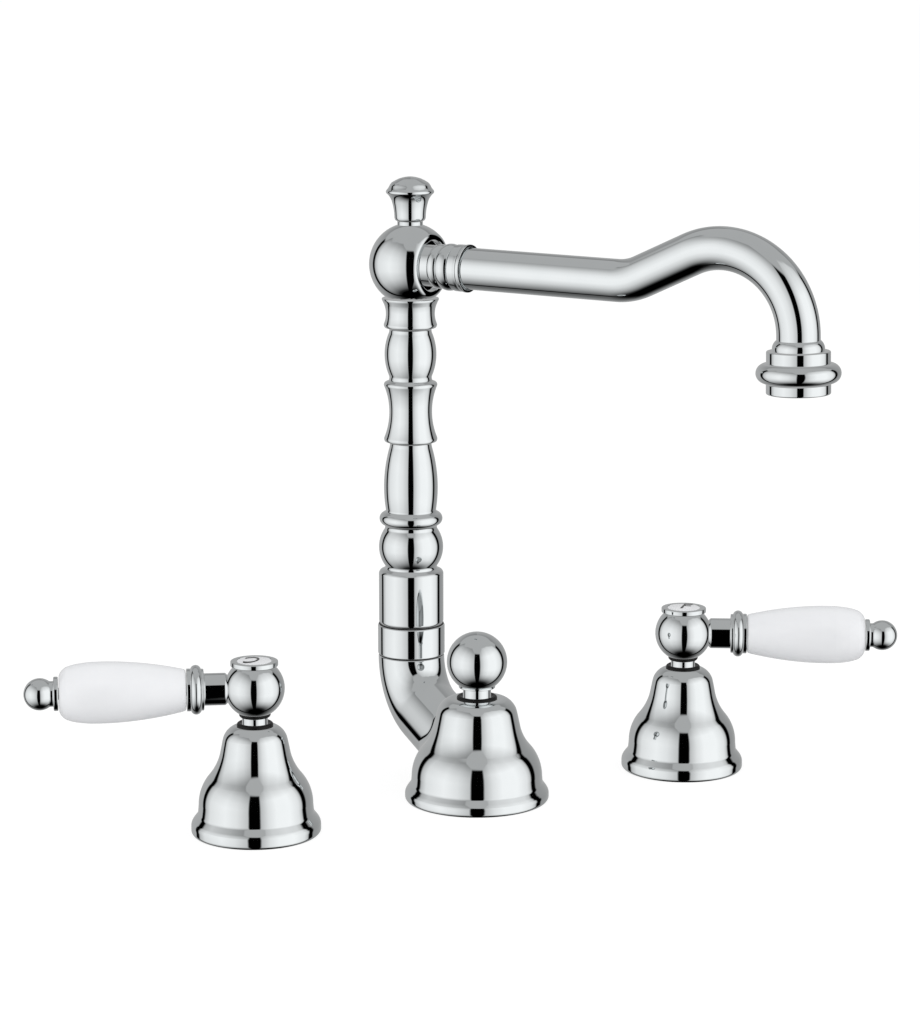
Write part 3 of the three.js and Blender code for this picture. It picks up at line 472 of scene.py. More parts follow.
@dataclass
class Wardrobe:
    """Makes each finish once and puts it on pieces."""

    made: dict[Finishes, Material] = field(default_factory=dict)
    # The photo's units were lit apart, so only these pieces are mirrored in others
    mirrored: tuple[str, ...] = ("lift_ball", "beaded_union", "lipped_ferrule")

    def material(self, finish: Finishes) -> Material:
        """The finish's material, made when it is first asked for."""
        if finish not in self.made:
            self.made[finish] = finish.value.material()
        return self.made[finish]

    def dress(
        self, piece: Object, body: str, slot: str, *nodes: str, finish: Finishes | None = None
    ) -> Object:
        """Gives a finished piece its material, its body and the nodes that it stands for.

        Args:
            piece: The piece.
            body: The body that it rides on.
            slot: The record's material slot.
            nodes: The nodes that it replaces.
            finish: The finish, where it isn't the slot's own.

        Returns:
            The piece.
        """
        piece.data.materials.clear()
        piece.data.materials.append(self.material(finish or SLOTS[slot]))
        piece.visible_glossy = piece.name in self.mirrored
        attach(piece, body)
        if nodes:
            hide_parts(*nodes)
        log.info("%s rides on %s in %s: %d faces", piece.name, body, slot, len(piece.data.polygons))
        return piece

    def turned(
        self, name: str, outline: Outline, where: Matrix, *dressing: str, steps: int = MEDIUM
    ) -> Object:
        """Spins a piece, puts it in its place and dresses it.

        Args:
            name: The piece's name.
            outline: Its half section.
            where: Its place.
            dressing: Its body, its slot and the nodes that it replaces.
            steps: How many facets go round it.

        Returns:
            The piece.
        """
        return self.dress(smooth(place(spun(name, outline, steps), where)), *dressing)

    def dress_frame(self) -> None:
        """Gives every node that still shows the material of its slot."""
        slots = {row["node"]: row["material_slot"] for row in frame["record"]["subparts"]}
        for name, node in frame["nodes"].items():
            if node.hide_render:
                continue
            node.data.materials.clear()
            node.data.materials.append(self.material(SLOTS[slots[name]]))
            node.visible_glossy = False
            log.info("%s keeps its own shape in %s", name, slots[name])


# Centre unit


@dataclass
class CentreBody:
    """The bell on the deck, cast in one with the elbow that carries the pillar."""

    bell_height: float = 42.4
    rows: Rows = (
        (28.9, 0, 0, 0.4), (29.6, 0.9, 0, 0.5), (29.6, 3.3, 0, 1.0), (28.9, 4.6, 0, 0.9),
        (27.1, 7.0, 0, 0.7), (26.85, 9.8, 0, 1.5), (22.5, 21.6, 1.1, 1.0),
        (17.7, 31.0, -0.74, 1.0), (16.5, 36.6, 0, 1.0), (11.4, 42.4, 1.03, 1.0),
    )
    cavity_radius: float = 23.2
    cavity_depth: float = 14.0
    hole_radius: float = 8.45
    hole_depth: float = 12.1
    elbow_radius: float = 13.95
    bend_radius: float = 23.5
    bend_angle: float = 72.0
    # The fillet's radius in the bend's own plane, and on the elbow's flanks
    fillet: float = 5.0
    flank_fillet: float = 8.5
    # How the skin turns in at the seam: the way along the elbow, and the inset
    lip: Rows = ((0, 0.55), (0.08, 0.28), (0.28, 0.08), (0.55, 0))
    elbow_rings: int = 50
    fillet_rings: int = 22
    # How often the stretch in which the ball first touches the bell is halved
    halvings: int = 26
    # Past the bend the mesh ends inside the bell, in a ring this far on and this wide
    core_reach: float = 33.0
    core_radius: float = 2.5

    def bell_outline(self) -> Outline:
        """The bell's half section, with its hollow foot and the hole in its crown."""
        outline = Outline(0, self.cavity_depth).line(self.cavity_radius, self.cavity_depth)
        outline.line(self.cavity_radius, 0).profile(self.rows)
        outline.line(self.hole_radius, self.bell_height, 0.3)
        floor = self.bell_height - self.hole_depth
        return outline.line(self.hole_radius, floor, 0.3).line(0, floor)

    def skin(self, around: float, along: float, out: float = 0.0) -> tuple[Vector, Vector]:
        """A spot on the elbow, or off it.

        Args:
            around: The angle round the elbow's axis, in radians from the inside of its bend.
            along: The way along the axis from the seam.
            out: How far the spot stands off the elbow's skin.

        Returns:
            The spot and the skin's normal there, with the seam's centre over the origin.
        """
        turn = min(along / self.bend_radius, math.radians(self.bend_angle))
        ahead = Vector((math.sin(turn), 0, -math.cos(turn)))
        inward = Vector((math.cos(turn), 0, math.sin(turn)))
        middle = Vector((self.bend_radius, 0, SEAM_HEIGHT)) - inward * self.bend_radius
        middle += ahead * (along - self.bend_radius * turn)
        normal = inward * math.cos(around) + Vector((0, math.sin(around), 0))
        return middle + normal * (self.elbow_radius + out), normal

    def nearest(self, spot: Vector, section: np.ndarray) -> Vector:
        """The bell's nearest spot to one outside it, from the bell's half section."""
        away = Vector((spot.x - SETBACK, spot.y))
        point = np.array((away.length, spot.z))
        starts, runs = section[:-1], np.diff(section, axis=0)
        shares = np.clip(((point - starts) * runs).sum(1) / (runs**2).sum(1), 0, 1)
        spots = starts + runs * shares[:, None]
        radius, height = spots[np.argmin(((spots - point) ** 2).sum(1))]
        flat = away.normalized() * radius
        return Vector((SETBACK + flat.x, flat.y, height))

    def generatrix(self, around: float, section: np.ndarray) -> list[Vector]:
        """Follows the elbow from the seam to where a ball rolls between it and the bell.

        Args:
            around: The angle round the elbow's axis, in radians.
            section: The bell's half section.

        Returns:
            The spots of the lip, the elbow, the fillet and its two rings inside the bell.
        """
        fillet = self.fillet + (self.flank_fillet - self.fillet) * math.sin(around) ** 2
        near, far = 0.0, self.bend_radius + SETBACK
        for _ in range(self.halvings):
            along = (near + far) / 2
            ball, _ = self.skin(around, along, fillet)
            inside = (self.nearest(ball, section) - ball).length < fillet or ball.x > SETBACK
            near, far = (near, along) if inside else (along, far)
        ball, normal = self.skin(around, near, fillet)
        touch = (self.nearest(ball, section) - ball).normalized()
        spots = [self.skin(around, along, -inset)[0] for along, inset in self.lip]
        start = self.lip[-1][0]
        for ring in range(1, self.elbow_rings + 1):
            along = start + (near - start) * ring / self.elbow_rings
            spots.append(self.skin(around, along)[0])
        angle = (-normal).angle(touch)
        for share in (ring / self.fillet_rings for ring in range(1, self.fillet_rings + 1)):
            spread = -normal * math.sin((1 - share) * angle) + touch * math.sin(share * angle)
            spots.append(ball + spread * (fillet / math.sin(angle)))
        spots.append(spots[-1] + touch)
        reach = self.bend_radius * math.radians(self.bend_angle) + self.core_reach
        spots.append(self.skin(around, reach, self.core_radius - self.elbow_radius)[0])
        return spots

    def elbow(self) -> Object:
        """Extrudes a tube ring by ring and lays the rings round the bend and over the bell.

        Returns:
            The closed elbow, which flares into the bell.
        """
        bpy.ops.object.select_all(action="DESELECT")
        radius = self.elbow_radius * MM
        bpy.ops.mesh.primitive_circle_add(vertices=MEDIUM, radius=radius, fill_type="NGON")
        piece = bpy.context.object
        section = np.array([tuple(point) for point in self.bell_outline().way()])
        ways = [self.generatrix(2 * math.pi * i / MEDIUM, section) for i in range(MEDIUM)]
        with editing(piece):
            for _ in ways[0][1:]:
                bpy.ops.mesh.extrude_region_move(TRANSFORM_OT_translate={"value": (0, 0, -MM)})
        for vertex in piece.data.vertices:
            around = math.atan2(vertex.co.y, vertex.co.x) / (2 * math.pi)
            vertex.co = ways[round(around * MEDIUM) % MEDIUM][round(-vertex.co.z / MM)] * MM
        with editing(piece):
            bpy.ops.mesh.normals_make_consistent(inside=False)
        return place(piece, ON_PILLAR @ turn_about(-90, "Z"))

    def build(self, wardrobe: Wardrobe) -> None:
        """Models the body and dresses it."""
        piece = spun("centre_body", self.bell_outline(), FINE)
        elbow = self.elbow()
        only(piece)
        elbow.select_set(True)
        bpy.ops.object.join()
        wardrobe.dress(smooth(piece), "base", "chrome", "spout_body")


@dataclass
class Swivel:
    """The plain band between the two seams, with a thin black rubber ring in each seam's gap as
    painted shadow for the seam's dark line.
    """

    radius: float = 14.15
    lower_gap: float = 0.55
    upper_gap: float = 0.5
    rebate_width: float = 1.65
    rebate_depth: float = 1.5
    seam_bore: float = 12.6
    seam_inset: float = 0.4
    seam_slack: float = 0.02
    seam_thickness: float = 0.46

    def build(self, wardrobe: Wardrobe) -> None:
        """Models the band and the rings, and dresses them."""
        bottom = SEAM_HEIGHT + self.lower_gap
        top = SEAM_HEIGHT + BAND_HEIGHT - self.upper_gap
        rebate = self.radius - self.rebate_width
        outline = Outline(PILLAR_BORE, bottom).line(self.radius, bottom, 0.6)
        outline.line(self.radius, top, 0.6).line(rebate, top, 0.2)
        outline.line(rebate, top - self.rebate_depth, 0.1)
        outline.line(PILLAR_BORE, top - self.rebate_depth).close()
        wardrobe.turned("swivel_ring", outline, ON_PILLAR, "base", "chrome", "swivel_band")
        # Each black ring sits just inside its seam's gap and paints the seam's shadow line
        for name, seam in (("lower_seam_shade_ring", SEAM_HEIGHT), ("upper_seam_shade_ring", top)):
            low, radius = seam + self.seam_slack, self.radius - self.seam_inset
            high = low + self.seam_thickness
            outline = Outline(self.seam_bore, low).line(radius, low)
            outline.line(radius, high).line(self.seam_bore, high).close()
            wardrobe.turned(name, outline, ON_PILLAR, "base", "rubber")


@dataclass
class Pillar:
    """The turned pillar, with its ball, ring, vase, hourglass, bulb and cove."""

    radius: float = 13.65
    height: float = 138.4
    foot: float = SEAM_HEIGHT + BAND_HEIGHT
    rows: Rows = (
        (0.957, 0, 0, 0.3), (1, 0.006, 0, 0.5), (1, 0.158, 0, 0.4), (0.957, 0.165, 0, 0.4),
        (0.801, 0.171, 0, 0.5), (0.801, 0.18, 0, 0.5), (0.801, 0.295, 0.192, 0.5),
        (0.801, 0.303, 0, 0.4), (0.83, 0.307, 0, 0.4), (0.83, 0.345, 0.142, 0.4),
        (0.77, 0.35, 0, 0.6), (0.64, 0.55, 0.115, 0.6), (0.64, 0.56, 0, 0.4), (0.8, 0.564, 0, 0.4),
        (0.826, 0.572, 0, 0.6), (0.826, 0.737, -0.17, 0.6), (0.8, 0.744, 0, 0.4),
        (0.66, 0.75, 0, 0.5), (0.645, 0.761, 0, 0.6), (0.645, 0.898, 0.148, 0.6),
        (0.645, 0.907, 0, 0.5), (0.79, 0.911, 0, 0.4), (0.823, 0.919, 0, 0.6),
        (0.82, 0.985, -0.075, 0.8), (0.872, 0.995, 0, 0.4), (0.872, 1, 0, 0.4),
    )
    spigot_length: float = 18.0
    waterway: float = 4.6

    def build(self, wardrobe: Wardrobe) -> None:
        """Models the pillar and dresses it."""
        outline = Outline(PILLAR_BORE, self.foot)
        outline.profile(self.rows, self.radius, self.height, self.foot)
        floor = self.foot + self.spigot_length
        outline.line(self.waterway, self.foot + self.height, 0.2).line(self.waterway, floor)
        outline.line(PILLAR_BORE, floor).close()
        dressing = ("spout", "chrome", "column")
        wardrobe.turned("turned_pillar", outline, ON_PILLAR, *dressing, steps=FINE)


@dataclass
class SpoutHead:
    """The ball on the pillar with its finial, the beaded union and the ferrule."""

    centre: tuple[float, float, float] = (0.0, SETBACK, 215.2)
    heading: float = -59.5
    ball_radius: float = 17.1
    seat_drop: float = 13.8
    socket_face: float = 11.1
    socket_radius: float = 10.5
    socket_depth: float = 2.6
    finial_foot: float = 16.26
    finial_spigot: float = 1.0
    finial_radius: float = 10.0
    finial_height: float = 20.0
    finial_rows: Rows = (
        (0.53, 0, 0, 0.1), (0.53, 0.085, 0, 0.5), (0.61, 0.095, 0, 0.4), (0.65, 0.14, 0, 1.0),
        (0.79, 0.54, -0.035, 0.8), (0.9, 0.62, 0, 0.6), (1, 0.665, 0, 0.7), (1, 0.705, 0, 0.7),
        (0.885, 0.77, 0, 1.0), (0.62, 0.92, 0.045, 1.6), (0, 1, 0.035, 0),
    )
    waterway: float = 6.0
    union_radius: float = 9.7
    union_length: float = 13.6
    union_rows: Rows = (
        (0.88, 0, 0, 0.2), (0.88, 0.31, 0, 0.3), (0.9, 0.33, 0, 0.2), (0.9, 0.57, 0.05, 0.3),
        (0.88, 0.59, 0, 0.2), (0.93, 0.62, 0, 0.2), (0.93, 0.97, 0.07, 0.3), (0.9, 1, 0, 0.2),
    )
    ferrule_radius: float = 9.9
    ferrule_length: float = 6.0
    ferrule_rows: Rows = (
        (0.9, 0, 0, 0.2), (0.97, 0.06, 0, 0.3), (0.98, 0.5, 0, 0.5), (0.955, 0.68, 0, 0.5),
        (1, 0.8, 0, 0.3), (1, 1, 0, 0.25),
    )
    tube_seat_depth: float = 4.3

    def arm_place(self) -> Matrix:
        """The place of the spout's axis, which leaves the ball's centre."""
        return shift(*self.centre) @ turn_about(self.heading, "Z") @ turn_about(TUBE_DROOP, "Y")

    def ball(self) -> Object:
        """Spins the ball about the spout's axis and cuts its seat flat.

        Returns:
            The ball with its socket.
        """
        floor = self.socket_face - self.socket_depth
        outline = Outline(0, -self.ball_radius).ball(self.ball_radius, 0, self.socket_face, 0.9)
        outline.line(self.socket_radius, self.socket_face, 0.5)
        outline.line(self.socket_radius, floor, 0.3).line(0, floor)
        piece = place(spun("spout_ball", outline, FINE), self.arm_place() @ ALONG_X)
        seat = Vector(self.centre) - Vector((0, 0, self.seat_drop))
        cut = {"plane_co": seat * MM, "plane_no": (0, 0, 1)}
        with editing(piece):
            bpy.ops.mesh.bisect(**cut, use_fill=True, clear_inner=True)
        return piece

    def build(self, wardrobe: Wardrobe) -> None:
        """Models the ball, the finial, the union and the ferrule, and dresses them."""
        wardrobe.dress(smooth(self.ball()), "spout", "chrome", "spout_hub")

        foot = self.finial_foot - self.finial_spigot
        outline = Outline(0, foot).line(self.finial_rows[0][0] * self.finial_radius, foot)
        outline.profile(self.finial_rows, self.finial_radius, self.finial_height, self.finial_foot)
        wardrobe.turned("finial_cup", outline, shift(*self.centre), "spout", "chrome", "finial")

        arm = self.arm_place() @ ALONG_X
        start = self.socket_face - self.socket_depth + GAP
        end = start + self.union_length
        outline = Outline(self.waterway, start)
        outline.profile(self.union_rows, self.union_radius, self.union_length, start)
        outline.line(self.waterway, end).close()
        wardrobe.turned("beaded_union", outline, arm, "spout", "chrome", "spout_union")

        start = end + GAP
        end = start + self.ferrule_length
        outline = Outline(self.waterway, start)
        outline.profile(self.ferrule_rows, self.ferrule_radius, self.ferrule_length, start)
        bore, floor = TUBE_RADIUS + GAP, end - self.tube_seat_depth
        outline.line(bore, end, 0.2).line(bore, floor).line(self.waterway, floor).close()
        wardrobe.turned("lipped_ferrule", outline, arm, "spout", "chrome", "spout_ferrule")


@dataclass
class SwanNeck:
    """The bent tube, along the spout's axis from its seat in the ferrule."""

    wall: float = 1.3
    start: float = 24.7
    first_run: float = 72.6
    lower_bend: float = 26.0
    lower_steps: int = 14
    rise_angle: float = 25.6
    rise_length: float = 23.5
    arch_bend: float = 33.0
    arch_steps: int = 56
    outlet_lean: float = 1.3
    drop_length: float = 1.7
    insert_length: float = 6.4
    point: Vector = field(init=False)
    heading: float = field(init=False)
    outlet: Matrix = field(init=False)

    def __post_init__(self) -> None:
        """Starts the way at the tube's seat."""
        self.point, self.heading = Vector((self.start, 0, 0)), 0.0

    def run(self, length: float) -> None:
        """Extrudes the open end straight on."""
        turn = math.radians(self.heading)
        move = Vector((math.cos(turn), 0, math.sin(turn))) * length
        bpy.ops.mesh.extrude_region_move(TRANSFORM_OT_translate={"value": move * MM})
        self.point += move

    def bend(self, radius: float, angle: float, steps: int) -> None:
        """Spins the open end round a bend, which turns up for a positive angle."""
        side = math.copysign(1, angle)
        turn = math.radians(self.heading)
        centre = self.point + Vector((-math.sin(turn), 0, math.cos(turn))) * radius * side
        sweep = {"steps": steps, "angle": math.radians(abs(angle))}
        bpy.ops.mesh.spin(**sweep, center=centre * MM, axis=(0, side, 0))
        self.heading += angle
        after = math.radians(self.heading)
        self.point = centre + Vector((math.sin(after), 0, -math.cos(after))) * radius * side

    def tube(self) -> Object:
        """Extrudes a circle along the swan neck and gives it its wall.

        Returns:
            The tube in the spout's own axes.
        """
        bpy.ops.object.select_all(action="DESELECT")
        laid = {"location": (self.start * MM, 0, 0), "rotation": (0, math.pi / 2, 0)}
        bpy.ops.mesh.primitive_circle_add(vertices=COARSE, radius=TUBE_RADIUS * MM, **laid)
        piece = bpy.context.object
        piece.name = "swan_neck"
        bpy.ops.object.transform_apply(location=True, rotation=True)
        with editing(piece):
            self.run(self.first_run)
            self.bend(self.lower_bend, self.rise_angle, self.lower_steps)
            self.run(self.rise_length)
            arch = 90 - self.outlet_lean - TUBE_DROOP + self.rise_angle
            self.bend(self.arch_bend, -arch, self.arch_steps)
            self.run(self.drop_length)
            self.outlet = shift(*self.point) @ turn_about(90 - self.heading, "Y")
            self.run(self.insert_length)
            weld()
        bpy.ops.object.modifier_add(type="SOLIDIFY")
        modifier = piece.modifiers[-1]
        modifier.thickness, modifier.offset = self.wall * MM, -1
        bpy.ops.object.modifier_apply(modifier=modifier.name)
        return piece

    def build(self, wardrobe: Wardrobe, arm: Matrix) -> Matrix:
        """Models the tube and dresses it.

        Args:
            wardrobe: The finishes.
            arm: The place of the spout's axis.

        Returns:
            The place of the outlet, with +Z the way that the water runs.
        """
        wardrobe.dress(smooth(place(self.tube(), arm)), "spout", "chrome", "spout_tube")
        return arm @ self.outlet


@dataclass
class Outlet:
    """The flared skirt, the collar with its fat ring, and the aerator's housing."""

    bore: float = TUBE_RADIUS + 0.05
    skirt_length: float = 4.2
    skirt_radius: float = 10.2
    skirt_bow: float = 0.64
    collar_radius: float = 12.55
    collar_length: float = 4.8
    ring_radius: float = 16.65
    ring_thickness: float = 7.6
    socket_radius: float = 10.7
    socket_floor: float = 9.5
    housing_radius: float = 12.65
    housing_length: float = 4.1
    sleeve_radius: float = 10.4
    sleeve_length: float = 5.6
    insert_radius: float = 8.5

    def build(self, wardrobe: Wardrobe, where: Matrix) -> None:
        """Models the outlet's pieces and dresses them.

        Args:
            wardrobe: The finishes.
            where: The outlet's place, with +Z the way that the water runs.
        """
        ring_top = self.skirt_length + self.collar_length
        ring_bottom = ring_top + self.ring_thickness
        outline = Outline(self.bore, 0)
        outline.arc(self.skirt_radius, self.skirt_length, self.skirt_bow, 0.3)
        outline.line(self.collar_radius, self.skirt_length, 0.5)
        outline.line(self.collar_radius, ring_top, 0.5)
        outline.arc(self.collar_radius, ring_bottom, self.ring_radius - self.collar_radius, 0.4)
        outline.line(self.socket_radius, ring_bottom).line(self.socket_radius, self.socket_floor)
        outline.line(self.bore, self.socket_floor).close()
        wardrobe.turned("outlet_ring", outline, where, "spout", "chrome", "outlet_collar")

        seat = ring_bottom + GAP
        bottom, sleeve_top = seat + self.housing_length, seat - self.sleeve_length
        bore = self.insert_radius + GAP
        outline = Outline(bore, sleeve_top).line(self.sleeve_radius, sleeve_top)
        outline.line(self.sleeve_radius, seat).line(self.housing_radius, seat, 0.4)
        outline.line(self.housing_radius, bottom, 0.7).line(bore, bottom, 0.4).close()
        wardrobe.turned("aerator_cap", outline, where, "spout", "chrome", "aerator_housing")


@dataclass
class LiftKnob:
    """The ball and boss that lift the waste's rod."""

    ball_radius: float = 12.35
    ball_height: float = 57.75
    flat_height: float = 47.7
    flat_bevel: float = 0.1
    boss_radius: float = 5.75
    boss_bottom: float = 33.9
    lip_radius: float = 7.45
    lip_height: float = 0.7
    guide_radius: float = 8.3
    guide_top: float = 42.9
    guide_bottom: float = 30.6
    guide_play: float = 0.25
    guide_bow: float = 0.75
    guide_floor: float = 3.0
    rod_bore: float = 2.8

    def build(self, wardrobe: Wardrobe) -> None:
        """Models the knob and its guide, and dresses them."""
        outline = Outline(0, self.boss_bottom).line(self.boss_radius, self.boss_bottom)
        lip_bottom = self.flat_height - self.lip_height
        outline.line(self.boss_radius, lip_bottom, 0.15).line(self.lip_radius, lip_bottom, 0.25)
        outline.line(self.lip_radius, self.flat_height, 0.25)
        flat = math.sqrt(self.ball_radius**2 - (self.ball_height - self.flat_height) ** 2)
        outline.line(flat, self.flat_height + self.flat_bevel, 0.1)
        outline.ball(self.ball_radius, self.ball_height, self.ball_height + self.ball_radius, 0)
        where, dressing = Matrix.Identity(4), ("lift", "chrome", "lift_knob")
        wardrobe.turned("lift_ball", outline, where, *dressing, steps=FINE)

        floor = self.guide_bottom + self.guide_floor
        outline = Outline(self.rod_bore, self.guide_bottom)
        outline.line(self.guide_radius, self.guide_bottom).line(self.guide_radius, self.guide_top)
        outline.arc(self.boss_radius + self.guide_play, self.guide_top, self.guide_bow)
        outline.line(self.boss_radius + GAP, floor).line(self.rod_bore, floor).close()
        piece = smooth(spun("rod_guide", outline, COARSE))
        wardrobe.dress(piece, "base", "nylon_black", "rod_guide_bush", finish=Finishes.RUBBER)


# Side valves


class Side(Enum):
    """The two side valves: name, place along +X, rest direction of the lever and letter."""

    HOT = ("hot", -100.0, 158.2, "C")
    COLD = ("cold", 100.0, -31.7, "F")

    def __init__(self, label: str, along: float, heading: float, letter: str) -> None:
        """Names the values of a row."""
        self.label, self.along, self.heading, self.letter = label, along, heading, letter


@dataclass
class SideValve:
    """A side valve's bell and bush. Both valves are copies of the same pieces."""

    bell_height: float = 43.5
    wall: float = 1.8
    rows: Rows = (
        (24.9, 0, 0, 0.4), (25.7, 0.9, 0, 0.5), (25.7, 3.9, 0, 1.0), (25.2, 5.2, 0, 0.9),
        (23.0, 8.0, 0, 0.7), (22.65, 11.5, 0, 1.5), (18.75, 22.9, 1.05, 1.0),
        (13.6, 34.0, -0.86, 1.0), (12.8, 38.0, 0, 1.0), (8.02, 43.5, 0.95, 0.8),
    )
    inside_rows: Rows = (
        (11.0, 36.2, 0, 2), (16.9, 22.2, 0, 2), (20.8, 11.0, 0, 2), (20.8, 6.0, 0, 2),
        (22.8, 3.0, 0, 2), (22.8, 0.0, 0, 2),
    )
    foot_radius: float = 24.3
    crown_bore: float = 7.5
    bush_radius: float = 7.2
    bush_bore: float = 5.4
    bush_length: float = 3.0
    bush_rise: float = 0.7
    bush_bow: float = 0.7

    def bell(self) -> Object:
        """Spins the thin bell."""
        outline = Outline(self.foot_radius, 0).profile(self.rows)
        outline.line(self.crown_bore, self.bell_height, 0.2)
        outline.line(self.crown_bore, self.bell_height - self.wall)
        outline.profile(self.inside_rows).close()
        return smooth(spun("bell", outline, FINE))

    def bush(self) -> Object:
        """Spins the black bush round the stem."""
        top = self.bell_height + self.bush_rise
        bottom = top - self.bush_length
        outline = Outline(self.bush_bore, bottom).line(self.bush_radius, bottom)
        outline.line(self.bush_radius, top).arc(self.bush_bore, top, self.bush_bow).close()
        return smooth(spun("bush", outline, COARSE))

    def build(self, wardrobe: Wardrobe) -> None:
        """Models the bell and the bush once and dresses a copy of each for both valves."""
        models = (
            (self.bell(), "bell", "chrome", None),
            (self.bush(), "stem_bush", "nylon_black", Finishes.RUBBER),
        )
        for model, node, slot, finish in models:
            for side in Side:
                twin = copied(model, f"{side.label}_{model.name}_cover")
                place(twin, shift(side.along, 0, 0))
                wardrobe.dress(twin, "base", slot, f"{side.label}_{node}", finish=finish)
            bpy.data.objects.remove(model)


@dataclass
class Lever:
    """The hub, the index and the porcelain lever, along +X from the valve's axis."""

    height: float = 58.7
    stem_foot: float = 36.8
    stem_radius: float = 5.1
    hub_radius: float = 11.9
    flat_drop: float = 10.0
    groove_radius: float = 4.3
    groove_width: float = 1.6
    top_lift: float = 8.8
    well_radius: float = 6.2
    well_depth: float = 5.0
    black_ring_radius: float = 6.1
    black_ring_bore: float = 4.35
    black_ring_width: float = 1.5
    black_ring_taper: float = 0.5
    black_ring_bow: float = 0.35
    rim_radius: float = 9.4
    rim_thickness: float = 2.0
    spigot_radius: float = 5.9
    spigot_length: float = 2.4
    recess_depth: float = 1.2
    disc_radius: float = 6.8
    disc_thickness: float = 0.9
    disc_dome: float = 0.5
    slack: float = 0.05
    letter_size: float = 12.0
    letter_slant: float = 0.3
    letter_width: float = 0.8
    letter_relief: float = 0.12
    face: float = 10.1
    peg_radius: float = 3.2
    peg_length: float = 3.0
    arm_radius: float = 6.35
    arm_chamfer: float = 1.05
    arm_length: float = 8.5
    collar_radius: float = 8.2
    collar_length: float = 1.0
    ring_radius: float = 9.6
    ring_length: float = 4.2
    ring_foot: float = 7.9
    seat_radius: float = 8.4
    seat_length: float = 1.5
    rod_bore: float = 2.7
    rod_depth: float = 12.0
    grip_bore: float = 3.2
    grip_radius: float = 12.2
    grip_length: float = 49.4
    grip_rows: Rows = (
        (0.665, 0, 0, 0.9), (0.995, 0.683, 0.082, 3.0), (0.905, 0.905, 0.0225, 2.0),
        (0.59, 1, 0.06, 0.9),
    )
    end_disc_radius: float = 6.7
    end_disc_thickness: float = 1.8
    neck_radius: float = 5.0
    neck_length: float = 1.5
    end_ball_radius: float = 6.3
    end_bore_depth: float = 4.0

    @property
    def rim_top(self) -> float:
        """The height of the rim's top over the lever's axis."""
        return self.top_lift + GAP + self.rim_thickness

    @property
    def grip_start(self) -> float:
        """How far from the valve's axis the grip starts."""
        arm = self.arm_chamfer + self.arm_length + self.collar_length
        return self.face + 2 * GAP + arm + self.ring_length + self.seat_length

    def hub(self) -> Object:
        """Spins the hub ball on its stem."""
        foot, groove = self.stem_foot - self.height, -self.flat_drop - self.groove_width
        outline = Outline(0, foot).line(self.stem_radius, foot)
        outline.line(self.stem_radius, groove, 0.2).line(self.groove_radius, groove, 0.1)
        outline.line(self.groove_radius, -self.flat_drop, 0.1)
        flat = math.sqrt(self.hub_radius**2 - self.flat_drop**2)
        outline.line(flat, -self.flat_drop, 0.4).ball(self.hub_radius, 0, self.top_lift, 0.3)
        floor = self.top_lift - self.well_depth
        outline.line(self.well_radius, self.top_lift).line(self.well_radius, floor).line(0, floor)
        return spun("hub_ball", outline, FINE)

    # A black ring under the hub ball's flat, where a dark band runs round between the ball and its
    # stem
    def black_ring(self) -> Object:
        """Spins the black ring between the hub ball and its stem."""
        top = -self.flat_drop - self.slack
        bottom = top - self.black_ring_width
        outline = Outline(self.black_ring_bore, bottom)
        outline.line(self.black_ring_radius - self.black_ring_taper, bottom, 0.2)
        outline.arc(self.black_ring_radius, top, self.black_ring_bow, 0.2).line(self.black_ring_bore, top).close()
        return spun("hub_black_ring", outline, COARSE)

    def rim(self) -> Object:
        """Spins the chrome rim that holds the index disc."""
        seat, top, inside = self.top_lift + GAP, self.rim_top, self.disc_radius + GAP
        foot, floor = seat - self.spigot_length, top - self.recess_depth
        outline = Outline(0, foot).line(self.spigot_radius, foot).line(self.spigot_radius, seat)
        outline.line(self.rim_radius, seat, 0.4).line(self.rim_radius, top, 0.45)
        outline.line(inside, top, 0.3).line(inside, floor, 0.1).line(0, floor)
        return spun("cap_rim", outline)

    def disc(self) -> Object:
        """Spins the domed porcelain disc."""
        bottom, crown = self.rim_top - self.disc_thickness, self.rim_top + self.disc_dome
        dome = (self.disc_radius**2 + self.disc_dome**2) / (2 * self.disc_dome)
        outline = Outline(0, bottom).line(self.disc_radius, bottom)
        outline.line(self.disc_radius, self.rim_top, 0.25).ball(dome, crown - dome, crown, 0)
        return spun("cap_disc", outline, COARSE)

    def arm(self) -> Object:
        """Spins the arm with its collar, its ring and the seat of the grip."""
        start = self.face + GAP
        collar = start + self.arm_chamfer + self.arm_length
        ring = collar + self.collar_length
        seat = ring + self.ring_length
        end = seat + self.seat_length
        outline = Outline(0, start - self.peg_length)
        outline.line(self.peg_radius, start - self.peg_length).line(self.peg_radius, start)
        outline.line(self.arm_radius - self.arm_chamfer, start, 0.3)
        outline.line(self.arm_radius, start + self.arm_chamfer, 0.4)
        outline.line(self.arm_radius, collar, 0.5).line(self.collar_radius, collar, 0.3)
        outline.line(self.collar_radius, ring, 0.25)
        outline.arc(self.ring_foot, seat, self.ring_radius - self.ring_foot, 0.3)
        outline.line(self.seat_radius, seat, 0.2).line(self.seat_radius, end, 0.3)
        outline.line(self.rod_bore, end).line(self.rod_bore, end - self.rod_depth)
        return spun("lever_neck", outline.line(0, end - self.rod_depth))

    def grip(self) -> Object:
        """Spins the porcelain grip."""
        outline = Outline(self.grip_bore, self.grip_start)
        outline.profile(self.grip_rows, self.grip_radius, self.grip_length, self.grip_start)
        outline.line(self.grip_bore, self.grip_start + self.grip_length).close()
        return spun("lever_grip", outline)

